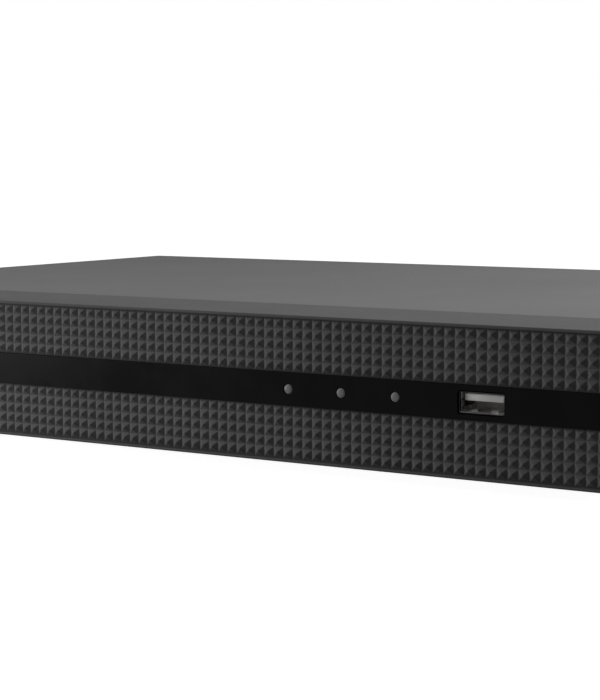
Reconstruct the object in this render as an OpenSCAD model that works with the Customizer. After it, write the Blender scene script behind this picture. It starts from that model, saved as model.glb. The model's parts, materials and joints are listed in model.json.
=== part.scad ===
// Compact one-drive video recorder for security cameras, in millimetres.
// X runs along the front, Y runs to the rear and Z is up; it stands on its feet at Z = 0.

/* [Case] */
// Width across the front bezel
body_w = 315; // [312:1:330]
// Depth from the front face to the rear wall
body_d = 242; // [240:1:270]
// Height of the case above its feet
body_h = 41; // [40.5:0.5:48]
// Thickness of the steel sheet
sheet_t = 0.8; // [0.6:0.1:1]
// Step in from the bezel side to the cover side
cover_inset = 1.4; // [0.8:0.1:2]
// Outside radius of the cover's two long bends
cover_bend_r = 1.8; // [1.2:0.1:3]
// Gap between pieces that sit side by side
fit_gap = 0.3; // [0.2:0.05:0.4]
// Drop of the cover's lip over the rear wall
rear_lip_h = 6.4; // [6:0.1:7]
// Height of the tray's side flanges
flange_h = 12; // [11:0.5:16]
// Height of the tray's front wall
front_wall_h = 29; // [27:0.5:32]

/* [Feet] */
// Height of a rubber foot
foot_h = 4; // [3:0.5:6]
// Diameter of a rubber foot
foot_d = 16; // [12:1:20]
// Foot centre from the side of the tray
foot_inset_x = 24; // [16:1:40]
// Foot centre from the front and rear of the tray
foot_inset_y = 26; // [16:1:40]

/* [Front bezel] */
// Depth of the bezel's top and sides
bezel_d = 34; // [32:0.5:35]
// Thickness of the bezel's top and sides
bezel_wall = 2; // [1.6:0.1:2.4]
// Thickness of the wall behind the front panels
bezel_front_t = 2; // [1.6:0.1:2.6]
// Radius of the bezel's upright corners
bezel_corner_r = 3; // [2:0.5:5]
// Radius of the bezel's front edges
bezel_edge_r = 0.5; // [0.3:0.1:0.8]
// Length of tray that sits inside the bezel
bezel_lap = 6; // [5:0.5:7]
// Width of the smooth rim round the panels
rim_t = 0.9; // [0.8:0.1:1.4]
// Width of a snap hook
hook_w = 8; // [6:0.5:10]
// Thickness of a snap hook
hook_t = 1.6; // [1.2:0.1:2]
// Inner snap hooks from the middle
hook_inner = 24; // [16:1:40]
// Outer snap hooks from the middle
hook_outer = 104; // [90:1:115]

/* [Front panels] */
// Height of the gloss band
band_h = 9.3; // [8.5:0.1:11]
// Joint between band, panels and rim
panel_gap = 0.12; // [0.1:0.02:0.2]
// Thickness of the panels and the band
panel_t = 1.8; // [1.4:0.1:2.2]
// Panels and band behind the rim's front face
panel_set = 0.1; // [0.05:0.05:0.3]

/* [Indicator lights] */
// First light from the right end of the front
led_end = 94.9; // [88:0.1:101]
// Spacing of the lights
led_pitch = 16.7; // [14:0.1:18]
// Number of lights
led_count = 3; // [2:1:3]
// Diameter of a light pipe
pipe_d = 2.8; // [2:0.1:3]
// Diameter of an LED
led_d = 3; // [2.6:0.1:3.6]
// Length of an LED
led_l = 5; // [4:0.1:6]

/* [USB sockets] */
// Front socket from the right end of the front
usb_end = 36.1; // [32:0.1:39]
// Width over the shell
usb_w = 13.1; // [12.9:0.1:13.6]
// Height over the shell
usb_h = 5.7; // [5.6:0.1:6.2]
// Length of the shell
usb_l = 14; // [12:0.5:16]
// Wall of the socket shells
shell_t = 0.3; // [0.25:0.05:0.4]
// Width of the tongue
tongue_w = 11.1; // [10.6:0.1:11.4]
// Thickness of the tongue
tongue_t = 1.84; // [1.6:0.02:2]
// Tongue tip behind the mouth of the shell
tongue_set = 1.2; // [0.8:0.1:2]
// Front socket's mouth behind the front face
usb_set = 0.5; // [0.3:0.1:0.8]

/* [Front board] */
// Depth of the front board
front_board_d = 20; // [19:0.5:20.5]
// Board beyond the first light and the socket
front_board_end = 14; // [13:0.5:16]
// Thickness of the circuit boards
pcb_t = 1.6; // [1.2:0.1:2]
// Diameter of a board post
post_d = 6; // [5.5:0.1:6.5]

/* [Side vents] */
// Width of a vent slot
vent_w = 2.4; // [2:0.1:3]
// Length of a vent slot
vent_l = 11; // [8:0.5:12]
// Spacing of the vent slots
vent_pitch = 5.6; // [5:0.1:7]
// Slots in a row
vent_count = 26; // [10:1:26]
// Centre of the slots from the front face
vent_y = 122; // [118:1:124]

/* [Screws] */
// Diameter of a screw shank
screw_d = 2.9; // [2.5:0.1:3]
// Diameter of a screw head
screw_head_d = 5.4; // [5:0.1:5.6]
// Height of a screw head
screw_head_h = 1.2; // [1:0.1:1.6]
// Length of a short screw
screw_l = 5; // [4:0.5:6]
// Side screws from the front and rear of the cover
side_screw_inset = 22; // [18:1:26]
// Rear lip screws from the side of the tray
lip_screw_inset = 4; // [3.6:0.1:4.4]

/* [Main board] */
// Gap from the drive to the main board
board_gap = 10.3; // [10:0.1:14]
// Gap from the board to the tray's flanges
board_side = 4; // [3:0.5:6]
// Gap from the board to the rear wall
board_rear = 1.5; // [1:0.1:2]
// Height of a standoff
standoff_h = 3; // [3:0.1:3.6]
// Diameter of a standoff
standoff_d = 5.5; // [5:0.1:6]
// Standoff from the board's edges
standoff_inset = 5; // [4.5:0.5:7]
// Rear row of standoffs from the board's rear edge
standoff_rear = 37; // [34:1:40]

/* [Board parts] */
// Processor from the middle, towards the drive's side
cpu_side = 26; // [25:0.5:28]
// Processor from the board's front edge
cpu_front = 36; // [32:1:38]
// Side of the processor
cpu_w = 25; // [21:1:30]
// Height of the processor
cpu_h = 1.8; // [1.2:0.1:2.4]
// Thickness of the thermal pad
pad_t = 0.5; // [0.3:0.1:1]
// Side of the heat sink
sink_w = 42; // [36:1:46]
// Height of the heat sink
sink_h = 16; // [12:1:20]
// Number of heat sink fins
sink_fins = 11; // [7:1:13]
// Thickness of a fin
fin_t = 1.2; // [0.8:0.1:1.6]
// Thickness of the heat sink base
sink_base_t = 3; // [2:0.5:4]
// Diameter of a coin cell
cell_d = 20; // [18:0.5:22]
// Thickness of a coin cell
cell_t = 3.2; // [2.5:0.1:3.6]
// Diameter of a capacitor can
cap_d = 8; // [6:0.5:9]
// Height of a capacitor can
cap_h = 12; // [10:0.5:15]
// Side of an inductor
coil_w = 10; // [8:0.5:11]
// Height of an inductor
coil_h = 5; // [4:0.5:7]
// Length of a memory chip
memory_w = 13; // [11:0.5:14]
// Width of a memory chip
memory_d = 9; // [8:0.5:10]
// Side of a video decoder chip
decoder_w = 12; // [10:0.5:14]

/* [Rear sockets] */
// First socket from the side of the tray
port_margin = 6; // [5:0.5:8]
// Video jacks in a row
bnc_cols = 8; // [4:2:8]
// Spacing of the video jacks along the rear
bnc_pitch_x = 15.2; // [14.8:0.1:15.6]
// Spacing of the two rows of video jacks
bnc_pitch_z = 14.6; // [14.3:0.1:15]
// Lower video jack above the board
bnc_rise = 7; // [6.8:0.1:7.3]
// Diameter of a video jack barrel
bnc_d = 9.6; // [9.4:0.1:9.8]
// Bore of a video jack barrel
bnc_bore_d = 8.2; // [8:0.1:8.4]
// Diameter of a video jack collar
bnc_collar_d = 12; // [11.6:0.1:12.4]
// Reach of a video jack behind the rear wall
bnc_reach = 11.5; // [10:0.5:14]
// Depth of the video jack housing
bnc_body_l = 17; // [14:0.5:20]
// Diameter of a video jack insulator
bnc_core_d = 4.8; // [4.4:0.1:5.2]
// Diameter of an audio jack barrel
rca_d = 8.3; // [8.1:0.1:8.5]
// Reach of an audio jack behind the rear wall
rca_reach = 9.5; // [8:0.5:9.5]
// Spacing of the two audio jacks
rca_pitch = 14; // [13:0.5:15]
// Width of the audio jack housing
rca_w = 12; // [11:0.5:13]
// Width of the HDMI shell
hdmi_w = 15.2; // [14.8:0.1:15.6]
// Height of the HDMI shell
hdmi_h = 6; // [5.6:0.1:6.4]
// Width of the VGA flange
vga_w = 31; // [30.8:0.1:32]
// Height of the VGA flange
vga_h = 12.5; // [12:0.1:13]
// Width of the VGA mouth along its top
vga_mouth_w = 16.4; // [16:0.1:16.8]
// Height of the VGA mouth
vga_mouth_h = 8; // [7.8:0.1:8.3]
// Reach of the VGA mouth behind the rear wall
vga_reach = 5; // [4.6:0.1:5.4]
// Depth of the VGA body behind its flange
vga_body_l = 10; // [8:0.5:12]
// Spacing of the VGA hex posts
vga_post_pitch = 25; // [24.9:0.1:25.2]
// Width of the LAN shell
lan_w = 16.2; // [15.8:0.1:17]
// Height of the LAN shell
lan_h = 13.4; // [13:0.1:14]
// Length of the LAN shell
lan_l = 18; // [16:0.5:21]
// Width of the LAN plug opening
lan_open_w = 11.8; // [11.7:0.1:12.2]
// Height of the LAN plug opening
lan_open_h = 7; // [6.8:0.1:7.4]
// Depth of the LAN plug opening
lan_open_l = 13; // [11:0.5:14]
// Width of the terminal block
term_w = 11; // [10:0.2:12]
// Height of the terminal block
term_h = 10; // [9:0.2:12]
// Width of the DC jack
dc_w = 9.4; // [9:0.1:10]
// Height of the DC jack
dc_h = 11; // [10:0.2:12]
// Bore of the DC jack
dc_bore_d = 6.3; // [6:0.1:6.5]
// Diameter of the DC jack's pin
dc_pin_d = 2.1; // [1.8:0.1:2.5]
// Diameter of the ground screw head
ground_d = 8; // [7:0.2:9]

/* [Power switch] */
// Width of the rocker
rocker_w = 7.6; // [7:0.1:8.4]
// Height of the rocker
rocker_h = 12; // [11:0.1:13]
// Tilt of the rocker to each side of the middle
rocker_tilt = 9; // [6:0.5:10]
// Rocker pivot in front of the rear wall's face
rocker_depth = 1; // [0.6:0.1:1.4]
// Wall of the switch housing
switch_wall = 1; // [0.8:0.1:1.2]
// Width of the switch frame round the housing
switch_lip = 1.2; // [1:0.1:1.4]
// Length of the switch housing behind the wall
switch_l = 12; // [10:0.5:15]
// Running clearance of the pivots, on the radius
run_gap = 0.05; // [0.03:0.01:0.08]

/* [Hard disk] */
// Length of the drive
hdd_l = 147; // [146:0.5:148]
// Width of the drive
hdd_w = 101.6; // [101.4:0.1:101.8]
// Height of the drive
hdd_h = 26.1; // [25:0.1:27]
// Drive from the tray's left flange
hdd_side = 4; // [3:0.5:8]
// Drive from the tray's front wall
hdd_front = 5; // [4.5:0.5:6]
// Height of the drive's bosses on the tray
hdd_boss_h = 3; // [2.5:0.1:4]
// Wall of the drive beside the platters
hdd_wall = 2; // [1.8:0.1:3]
// Gap round the platters
platter_gap = 1.3; // [1.2:0.1:2]
// Thickness of a platter
platter_t = 1.3; // [1:0.1:1.8]
// Spacing of the platters
platter_pitch = 4; // [3.6:0.1:4.4]
// Diameter of the platter hub
spindle_d = 30; // [25:1:32]
// Height of the drive's board recess
hdd_recess_h = 4; // [3.5:0.1:5]
// Width of the drive's socket
hdd_plug_w = 44; // [42:0.5:46]
// Length of the drive's socket
hdd_plug_l = 8; // [6:0.5:9]

/* [Fan] */
// Height of the case that the fan frame leaves free
fan_room = 6; // [5.5:0.5:8]
// Depth of the fan frame
fan_t = 10; // [9:0.5:12]
// Centre of the fan from the front face
fan_y = 92; // [84:1:100]
// Diameter of the fan hub
fan_hub_d = 17; // [15:0.5:18]
// Number of blades
blade_count = 7; // [5:1:9]
// Thickness of a blade
blade_t = 1.1; // [0.8:0.1:1.4]
// Pitch of a blade
blade_pitch = 38; // [25:1:50]
// Diameter of the fan shaft
shaft_d = 2; // [1.5:0.1:2.5]

/* [Output] */
// Sub-part to build

/* [Hidden] */
$fn = 48;
cut = 1;
mid_z = body_h / 2;
total_d = body_d + bnc_reach;
y_front = -total_d / 2;
cover_w = body_w - 2 * cover_inset;
tray_w = body_w - 2 * (max(bezel_wall, cover_inset + sheet_t) + fit_gap);
tray_y = bezel_d - bezel_lap;
wall_y = body_d - sheet_t;
wall_top = body_h - sheet_t - fit_gap;

recess_d = panel_set + panel_t;
bezel_back = recess_d + bezel_front_t;
field_w = body_w - 2 * (rim_t + panel_gap);
field_h = mid_z - rim_t - band_h / 2 - 2 * panel_gap;

led_x = body_w / 2 - led_end;
usb_x = body_w / 2 - usb_end;
hook_x = [hook_inner, hook_outer];
usb_open_w = usb_w + 2 * fit_gap;
usb_open_h = usb_h + 2 * fit_gap;
front_board_z = mid_z - usb_h / 2;
front_board_x0 = led_x - front_board_end;
front_board_x1 = usb_x + usb_w / 2 + front_board_end;
front_board_y = bezel_back + fit_gap;
front_post_x = [front_board_x0 + post_d / 2 + 1, front_board_x1 - post_d / 2 - 1];
front_post_y = front_board_y + front_board_d - post_d / 2 - 1;
pipe_bar_t = 1.5;
led_y = bezel_back + fit_gap + pipe_bar_t + fit_gap;

hdd_x0 = -tray_w / 2 + sheet_t + hdd_side;
hdd_x1 = hdd_x0 + hdd_l;
hdd_y0 = tray_y + sheet_t + hdd_front;
hdd_y1 = hdd_y0 + hdd_w;
hdd_z0 = sheet_t + hdd_boss_h;

board_z = sheet_t + standoff_h + pcb_t;
board_w = tray_w - 2 * (sheet_t + board_side);
board_left = -board_w / 2;
board_y1 = wall_y - board_rear;
board_y0 = hdd_y1 + board_gap;
board_d = board_y1 - board_y0;
standoff_x = [board_left + standoff_inset, 0, board_w / 2 - standoff_inset];
standoff_y = [board_y0 + standoff_inset, board_y1 - standoff_rear];
tap_d = screw_d + 2 * run_gap;
cpu_x = -cpu_side;
cpu_y = board_y0 + cpu_front;
cap_x = board_left + 13;
cap_y = board_y0 + 0.3 * board_d;
coil_x = board_left + 50;
coil_y = board_y0 + 40;
cell_x = board_left + 62;
cell_y = board_y0 + 17;
memory_x = standoff_d / 2 + 1.3;
header_w = 10;
header_pitch = header_w + 4;
header_x = max(hdd_x1 + 26, (header_w + screw_head_d) / 2 + 2);

bnc_w = (bnc_cols - 1) * bnc_pitch_x + bnc_collar_d + 2.5;
bnc_x = tray_w / 2 - port_margin - bnc_collar_d / 2 - 1.25;
bnc_z = board_z + bnc_rise;
bnc_end = tray_w / 2 - port_margin - bnc_w;
rocker_rise = 2.5;
rocker_swing = (rocker_rise + 1.5) * sin(rocker_tilt) + fit_gap;
switch_w = rocker_w + 2 * fit_gap + 2 * switch_wall;
switch_h = rocker_h + 2 * rocker_swing + 2 * switch_wall;
port_sum = bnc_w + rca_w + hdmi_w + vga_w + lan_w + usb_w + term_w + dc_w + switch_w + ground_d;
port_gap = (tray_w - 2 * port_margin - port_sum) / 9;
rca_x = bnc_end - port_gap - rca_w / 2;
rca_z = board_z + rca_w / 2;
rca_root_d = rca_d - 0.4;
rca_ring_l = fit_gap + sheet_t + 1;
hdmi_x = rca_x - rca_w / 2 - port_gap - hdmi_w / 2;
vga_x = hdmi_x - hdmi_w / 2 - port_gap - vga_w / 2;
lan_x = vga_x - vga_w / 2 - port_gap - lan_w / 2;
rear_usb_x = lan_x - lan_w / 2 - port_gap - usb_w / 2;
term_x = rear_usb_x - usb_w / 2 - port_gap - term_w / 2;
dc_x = term_x - term_w / 2 - port_gap - dc_w / 2;
switch_x = dc_x - dc_w / 2 - port_gap - switch_w / 2;
ground_x = switch_x - switch_w / 2 - port_gap - ground_d / 2;

hdd_hole_x = [hdd_x1 - 41.3, hdd_x1 - 85.7];
hdd_hole_y = [hdd_y0 + 3.2, hdd_y1 - 3.2];
hdd_recess_x = 20;
hdd_recess_y = 12;
hdd_plug_y = hdd_y0 + 16;
bay_x1 = hdd_x1 - 14;
bay_y0 = hdd_y0 + 5;
bay_y1 = hdd_y1 - 16;
lid_t = 1.2;
hdd_floor = 8;
spindle_post_d = 8;
pivot_post_d = 4;
platter_x = hdd_x0 + hdd_w / 2;
platter_y = (hdd_y0 + hdd_y1) / 2;
platter_z = 3.4;
platter_d = hdd_w - 2 * (hdd_wall + platter_gap);
arm_dx = 0.57 * platter_d;
arm_dy = -0.23 * platter_d;
arm_l = 0.505 * platter_d;
fork_l = 0.23 * platter_d;
fork_w = 0.19 * platter_d;
arm_dist = sqrt(arm_dx * arm_dx + arm_dy * arm_dy);
park_r = platter_d / 2 + 1.5;
park_angle = atan2(-arm_dy, -arm_dx)
    - acos((arm_dist * arm_dist + arm_l * arm_l - park_r * park_r) / (2 * arm_dist * arm_l));
pivot_d = 12;
hub_h = platter_pitch + platter_t + 5;

fan_w = body_h - fan_room;
fan_x1 = tray_w / 2 - sheet_t;
fan_x0 = fan_x1 - fan_t;
fan_z = sheet_t + 1 + fan_w / 2;
fan_hole = fan_w * 0.83 / 2;
fan_bore_d = fan_w - 1.6;
fan_wall_h = fan_z + fan_w / 2 + 1.6;
fan_back_t = 1.4;
bearing_d = shaft_d + 3;

// Bodies in case coordinates: Y from the front face, Z from the underside of the tray
module in_case() {
    translate([0, y_front, foot_h])
        children();
}

// A box between two opposite corners
module block(low, high) {
    translate(low)
        cube(high - low);
}

// A rod along Y
module rod_y(d, x, z, y0, y1) {
    translate([x, y0, z])
        rotate([-90, 0, 0])
            cylinder(d = d, h = y1 - y0);
}

// A rod along Z
module rod_z(d, x, y, z0, z1) {
    translate([x, y, z0])
        cylinder(d = d, h = z1 - z0);
}

// A rod along X
module rod_x(d, y, z, x0, x1) {
    translate([x0, y, z])
        rotate([0, 90, 0])
            cylinder(d = d, h = x1 - x0);
}

// A flat outline in X and Z, given thickness along Y
module upright(y0, y1) {
    translate([0, y1, 0])
        rotate([90, 0, 0])
            linear_extrude(y1 - y0)
                children();
}

// A flat outline in Y and Z, given thickness along X
module sideways(x0, x1) {
    translate([x0, 0, 0])
        rotate([90, 0, 90])
            linear_extrude(x1 - x0)
                children();
}

// A rectangle about a centre with round corners
module round_rect(w, h, r) {
    square([w - 2 * r, h], center = true);
    square([w, h - 2 * r], center = true);
    for (x = [-1, 1], y = [-1, 1])
        translate([x * (w / 2 - r), y * (h / 2 - r)])
            circle(r = r);
}

// A slot standing on its end
module slot(w, l) {
    square([w, l - w], center = true);
    for (y = [-1, 1])
        translate([0, y * (l - w) / 2])
            circle(d = w);
}

// A pan head screw along -Y, its head resting on y = 0
module pan_screw(l) {
    rotate([90, 0, 0])
        difference() {
            union() {
                translate([0, 0, -screw_head_h])
                    cylinder(d = screw_head_d, h = screw_head_h);
                cylinder(d = screw_d, h = l);
            }
            for (a = [0, 90])
                rotate(a)
                    translate([-screw_head_d * 0.3, -0.4, -screw_head_h - cut])
                        cube([screw_head_d * 0.6, 0.8, screw_head_h * 0.6 + cut]);
        }
}

// Bezel outline: round upright corners, eased front edges
module bezel_block() {
    r = bezel_corner_r;
    e = bezel_edge_r;
    intersection() {
        linear_extrude(body_h) {
            translate([-body_w / 2, r])
                square([body_w, bezel_d - r]);
            translate([-body_w / 2 + r, 0])
                square([body_w - 2 * r, bezel_d]);
            for (x = [-1, 1])
                translate([x * (body_w / 2 - r), r])
                    circle(r = r);
        }
        sideways(-body_w / 2 - cut, body_w / 2 + cut) {
            translate([e, 0])
                square([bezel_d - e, body_h]);
            translate([0, e])
                square([bezel_d, body_h - 2 * e]);
            for (z = [e, body_h - e])
                translate([e, z])
                    circle(r = e);
        }
    }
}

// A snap hook that reaches through the tray's front wall
module snap_hook() {
    end = tray_y + sheet_t + fit_gap;
    translate([-hook_w / 2, 0, 0])
        sideways(0, hook_w)
            polygon([[bezel_back - 0.5, 0], [end + 2, 0], [end + 2, hook_t],
                [end, hook_t + 1], [end, hook_t], [bezel_back - 0.5, hook_t]]);
}

module front_bezel() {
    color("#242425")
        in_case()
            difference() {
                union() {
                    difference() {
                        bezel_block();
                        block([-body_w / 2 + bezel_wall, bezel_back, bezel_wall],
                            [body_w / 2 - bezel_wall, bezel_d + cut, body_h - bezel_wall]);
                        block([-tray_w / 2 - fit_gap, tray_y - fit_gap, -cut],
                            [tray_w / 2 + fit_gap, bezel_d + cut, body_h / 2]);
                    }
                    for (x = front_post_x)
                        rod_z(post_d, x, front_post_y, bezel_wall - 0.5, front_board_z - pcb_t);
                    for (side = [-1, 1], x = hook_x)
                        translate([side * x, 0, bezel_wall + 3])
                            snap_hook();
                    for (i = [-6:6])
                        translate([i * 22 + 4, 0, 0])
                            sideways(0, 1.2)
                                polygon([[bezel_back - 0.5, body_h - bezel_wall + 0.5],
                                    [bezel_back + 9, body_h - bezel_wall + 0.5],
                                    [bezel_back + 9, body_h - bezel_wall - 1],
                                    [bezel_back - 0.5, body_h - bezel_wall - 7]]);
                }
                block([-body_w / 2 + rim_t, -cut, rim_t],
                    [body_w / 2 - rim_t, recess_d, body_h - rim_t]);
                for (i = [0:led_count - 1])
                    rod_y(pipe_d + 2 * fit_gap, led_x + i * led_pitch, mid_z, 0, bezel_back + cut);
                upright(0, bezel_back + cut)
                    translate([usb_x, mid_z])
                        square([usb_open_w, usb_open_h], center = true);
                for (x = front_post_x)
                    rod_z(tap_d, x, front_post_y, front_board_z - pcb_t - 8, body_h / 2);
            }
}

module upper_panel() {
    color("#2b2b2c")
        in_case()
            block([-field_w / 2, panel_set, body_h - rim_t - panel_gap - field_h],
                [field_w / 2, recess_d, body_h - rim_t - panel_gap]);
}

module lower_panel() {
    color("#2b2b2c")
        in_case()
            block([-field_w / 2, panel_set, rim_t + panel_gap],
                [field_w / 2, recess_d, rim_t + panel_gap + field_h]);
}

module front_band() {
    color("#0c0c0d")
        in_case()
            difference() {
                block([-field_w / 2, panel_set, mid_z - band_h / 2],
                    [field_w / 2, recess_d, mid_z + band_h / 2]);
                for (i = [0:led_count - 1])
                    rod_y(pipe_d + 2 * run_gap, led_x + i * led_pitch, mid_z, -cut, recess_d + cut);
                upright(-cut, recess_d + cut)
                    translate([usb_x, mid_z])
                        round_rect(usb_open_w, usb_open_h, 0.8);
            }
}

module light_pipe() {
    span = (led_count - 1) * led_pitch;
    color("#c9ccce")
        in_case() {
            block([led_x - 3, bezel_back, mid_z - 2],
                [led_x + span + 3, bezel_back + pipe_bar_t, mid_z + 2]);
            for (i = [0:led_count - 1])
                rod_y(pipe_d, led_x + i * led_pitch, mid_z, panel_set, bezel_back + pipe_bar_t / 2);
        }
}

module indicator_leds() {
    color("#b9c7b4")
        in_case()
            for (i = [0:led_count - 1])
                translate([led_x + i * led_pitch, led_y, mid_z]) {
                    translate([0, led_d / 2, 0])
                        rotate([-90, 0, 0])
                            cylinder(d = led_d, h = led_l - led_d / 2);
                    translate([0, led_d / 2, 0])
                        sphere(d = led_d);
                    rod_y(led_d + 0.8, 0, 0, led_l - 1, led_l);
                    block([-led_d / 2, led_d / 2, -usb_h / 2], [led_d / 2, led_l, -led_d / 2 + 0.5]);
                }
}

module front_board() {
    color("#1f5a34")
        in_case()
            difference() {
                block([front_board_x0, front_board_y, front_board_z - pcb_t],
                    [front_board_x1, front_board_y + front_board_d, front_board_z]);
                for (x = front_post_x)
                    rod_z(screw_d + 2 * fit_gap, x, front_post_y, 0, body_h);
            }
}

module front_screws() {
    color("#9a9c9f")
        in_case()
            for (x = front_post_x)
                translate([x, front_post_y, front_board_z])
                    rotate([90, 0, 0])
                        pan_screw(screw_l + pcb_t);
}

// A socket shell: a thin tube with a closed rear, mouth at y = 0, opening towards -Y
module usb_shell() {
    difference() {
        block([-usb_w / 2, 0, -usb_h / 2], [usb_w / 2, usb_l, usb_h / 2]);
        block([-usb_w / 2 + shell_t, -cut, -usb_h / 2 + shell_t],
            [usb_w / 2 - shell_t, usb_l - shell_t, usb_h / 2 - shell_t]);
    }
}

// The tongue on its root block, with four contact strips
module usb_tongue() {
    top = usb_h / 2 - shell_t - 0.4;
    block([-tongue_w / 2, tongue_set, top - tongue_t], [tongue_w / 2, usb_l - 4, top]);
    block([-usb_w / 2 + shell_t, usb_l - 4, -usb_h / 2 + shell_t],
        [usb_w / 2 - shell_t, usb_l - shell_t, usb_h / 2 - shell_t]);
    for (x = [-3.5, -1, 1, 3.5])
        block([x - 0.5, tongue_set + 0.6, top - tongue_t - 0.2], [x + 0.5, usb_l - 4, top - tongue_t]);
}

module front_usb_shell() {
    color("#b4b6b8")
        in_case()
            translate([usb_x, usb_set, mid_z])
                usb_shell();
}

module front_usb_tongue() {
    color("#e8e8e6")
        in_case()
            translate([usb_x, usb_set, mid_z])
                usb_tongue();
}

// Flat cable from the front board's tail over the tray to the main board
module front_cable() {
    x = (led_x + usb_x) / 2;
    r = 4;
    t = 0.4;
    w = 14;
    y0 = front_board_y + front_board_d;
    low = board_z + 3;
    high = front_board_z + t;
    drop_y = board_y0 + 2;
    color("#dcdcd6")
        in_case() {
            block([x - w / 2, y0 - 5, front_board_z], [x + w / 2, drop_y, high]);
            translate([x - w / 2, drop_y, high - t - r])
                rotate([90, 0, 90])
                    rotate_extrude(angle = 90)
                        translate([r, 0])
                            square([t, w]);
            block([x - w / 2, drop_y + r, board_z + 3], [x + w / 2, drop_y + r + t, high - t - r]);
            block([x - w / 2 - 1, drop_y + r - 0.6, board_z + 2],
                [x + w / 2 + 1, drop_y + r + 1.4, board_z + 5]);
            block([x - w / 2 - 1, drop_y + r - 0.6, board_z],
                [x + w / 2 + 1, drop_y + r + 3.4, board_z + 2]);
        }
}

module rear_cutouts() {
    for (i = [0:bnc_cols - 1], j = [0, 1])
        translate([bnc_x - i * bnc_pitch_x, bnc_z + j * bnc_pitch_z])
            circle(d = bnc_collar_d + 2 * fit_gap);
    for (j = [0, 1])
        translate([rca_x, rca_z + j * rca_pitch])
            circle(d = rca_d + 2 * fit_gap + 1.6);
    translate([hdmi_x, board_z + hdmi_h / 2])
        square([hdmi_w + 2 * fit_gap, hdmi_h + 2 * fit_gap], center = true);
    translate([vga_x, board_z + vga_h / 2])
        vga_outline(1 + fit_gap);
    for (s = [-1, 1])
        translate([vga_x + s * vga_post_pitch / 2, board_z + vga_h / 2])
            circle(d = 3.6);
    translate([lan_x, board_z + lan_h / 2])
        square([lan_w + 2 * fit_gap, lan_h + 2 * fit_gap], center = true);
    translate([rear_usb_x, board_z + usb_h / 2])
        square([usb_open_w, usb_open_h], center = true);
    translate([term_x, board_z + term_h / 2])
        square([term_w + 2 * fit_gap, term_h + 2 * fit_gap], center = true);
    translate([dc_x, board_z + dc_h / 2])
        circle(d = dc_bore_d + 2.4 + 2 * fit_gap);
    translate([switch_x, mid_z])
        square([switch_w + 2 * fit_gap, switch_h + 2 * fit_gap], center = true);
    translate([ground_x, mid_z])
        circle(d = tap_d);
}

function lip_screw_x() = [-tray_w / 2 + lip_screw_inset, 0, tray_w / 2 - lip_screw_inset];
function lip_screw_z() = body_h - rear_lip_h / 2 - 0.2;
function side_screw_y() = [bezel_d + side_screw_inset, body_d - side_screw_inset];

module base_tray() {
    color("#8f9194")
        in_case()
            difference() {
                union() {
                    block([-tray_w / 2, tray_y, 0], [tray_w / 2, body_d, sheet_t]);
                    block([-tray_w / 2, wall_y, 0], [tray_w / 2, body_d, wall_top]);
                    block([-tray_w / 2, tray_y, 0], [tray_w / 2, tray_y + sheet_t, front_wall_h]);
                    for (s = [-1, 1])
                        translate([s * (tray_w - sheet_t) / 2, 0, 0])
                            block([-sheet_t / 2, tray_y, 0], [sheet_t / 2, body_d, flange_h]);
                    block([tray_w / 2 - sheet_t, fan_y - fan_w / 2 - 3, 0],
                        [tray_w / 2, fan_y + fan_w / 2 + 3, fan_wall_h]);
                    for (x = hdd_hole_x, y = hdd_hole_y)
                        rod_z(10, x, y, 0, hdd_z0);
                }
                upright(wall_y - cut, body_d + cut)
                    rear_cutouts();
                for (x = lip_screw_x())
                    rod_y(tap_d, x, lip_screw_z(), wall_y - cut, body_d + cut);
                for (s = [-1, 1], y = side_screw_y())
                    rod_x(tap_d, y, flange_h / 2, s * tray_w / 2 - 2, s * tray_w / 2 + 2);
                for (x = hdd_hole_x, y = hdd_hole_y)
                    rod_z(screw_d + 2 * fit_gap, x, y, -cut, hdd_z0 + cut);
                rod_x(fan_bore_d, fan_y, fan_z, tray_w / 2 - sheet_t - cut, tray_w / 2 + cut);
                for (y = [-1, 1], z = [-1, 1])
                    rod_x(tap_d, fan_y + y * fan_hole, fan_z + z * fan_hole,
                        tray_w / 2 - sheet_t - cut, tray_w / 2 + cut);
                for (s = [-1, 1], x = hook_x)
                    translate([s * x, 0, bezel_wall + 3])
                        block([-hook_w / 2 - fit_gap, tray_y - cut, -fit_gap],
                            [hook_w / 2 + fit_gap, tray_y + sheet_t + cut, hook_t + 1.4]);
                block([(led_x + usb_x) / 2 - 10, tray_y - cut, front_board_z - 2],
                    [(led_x + usb_x) / 2 + 10, tray_y + sheet_t + cut, front_wall_h + cut]);
                translate([0, 0, -cut])
                    linear_extrude(sheet_t + 2 * cut)
                        for (i = [0:11], j = [0, 1])
                            translate([(tray_w + hdd_x1) / 4 - 30 + i * vent_pitch, hdd_y0 + 46 + j * 26])
                                slot(vent_w, 18);
            }
}

module side_vents() {
    for (i = [0:vent_count - 1], j = [0, 1])
        translate([vent_y + (i - (vent_count - 1) / 2) * vent_pitch,
            mid_z + 3 + (j - 0.5) * (vent_l + 2.5)])
            slot(vent_w, vent_l);
}

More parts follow.
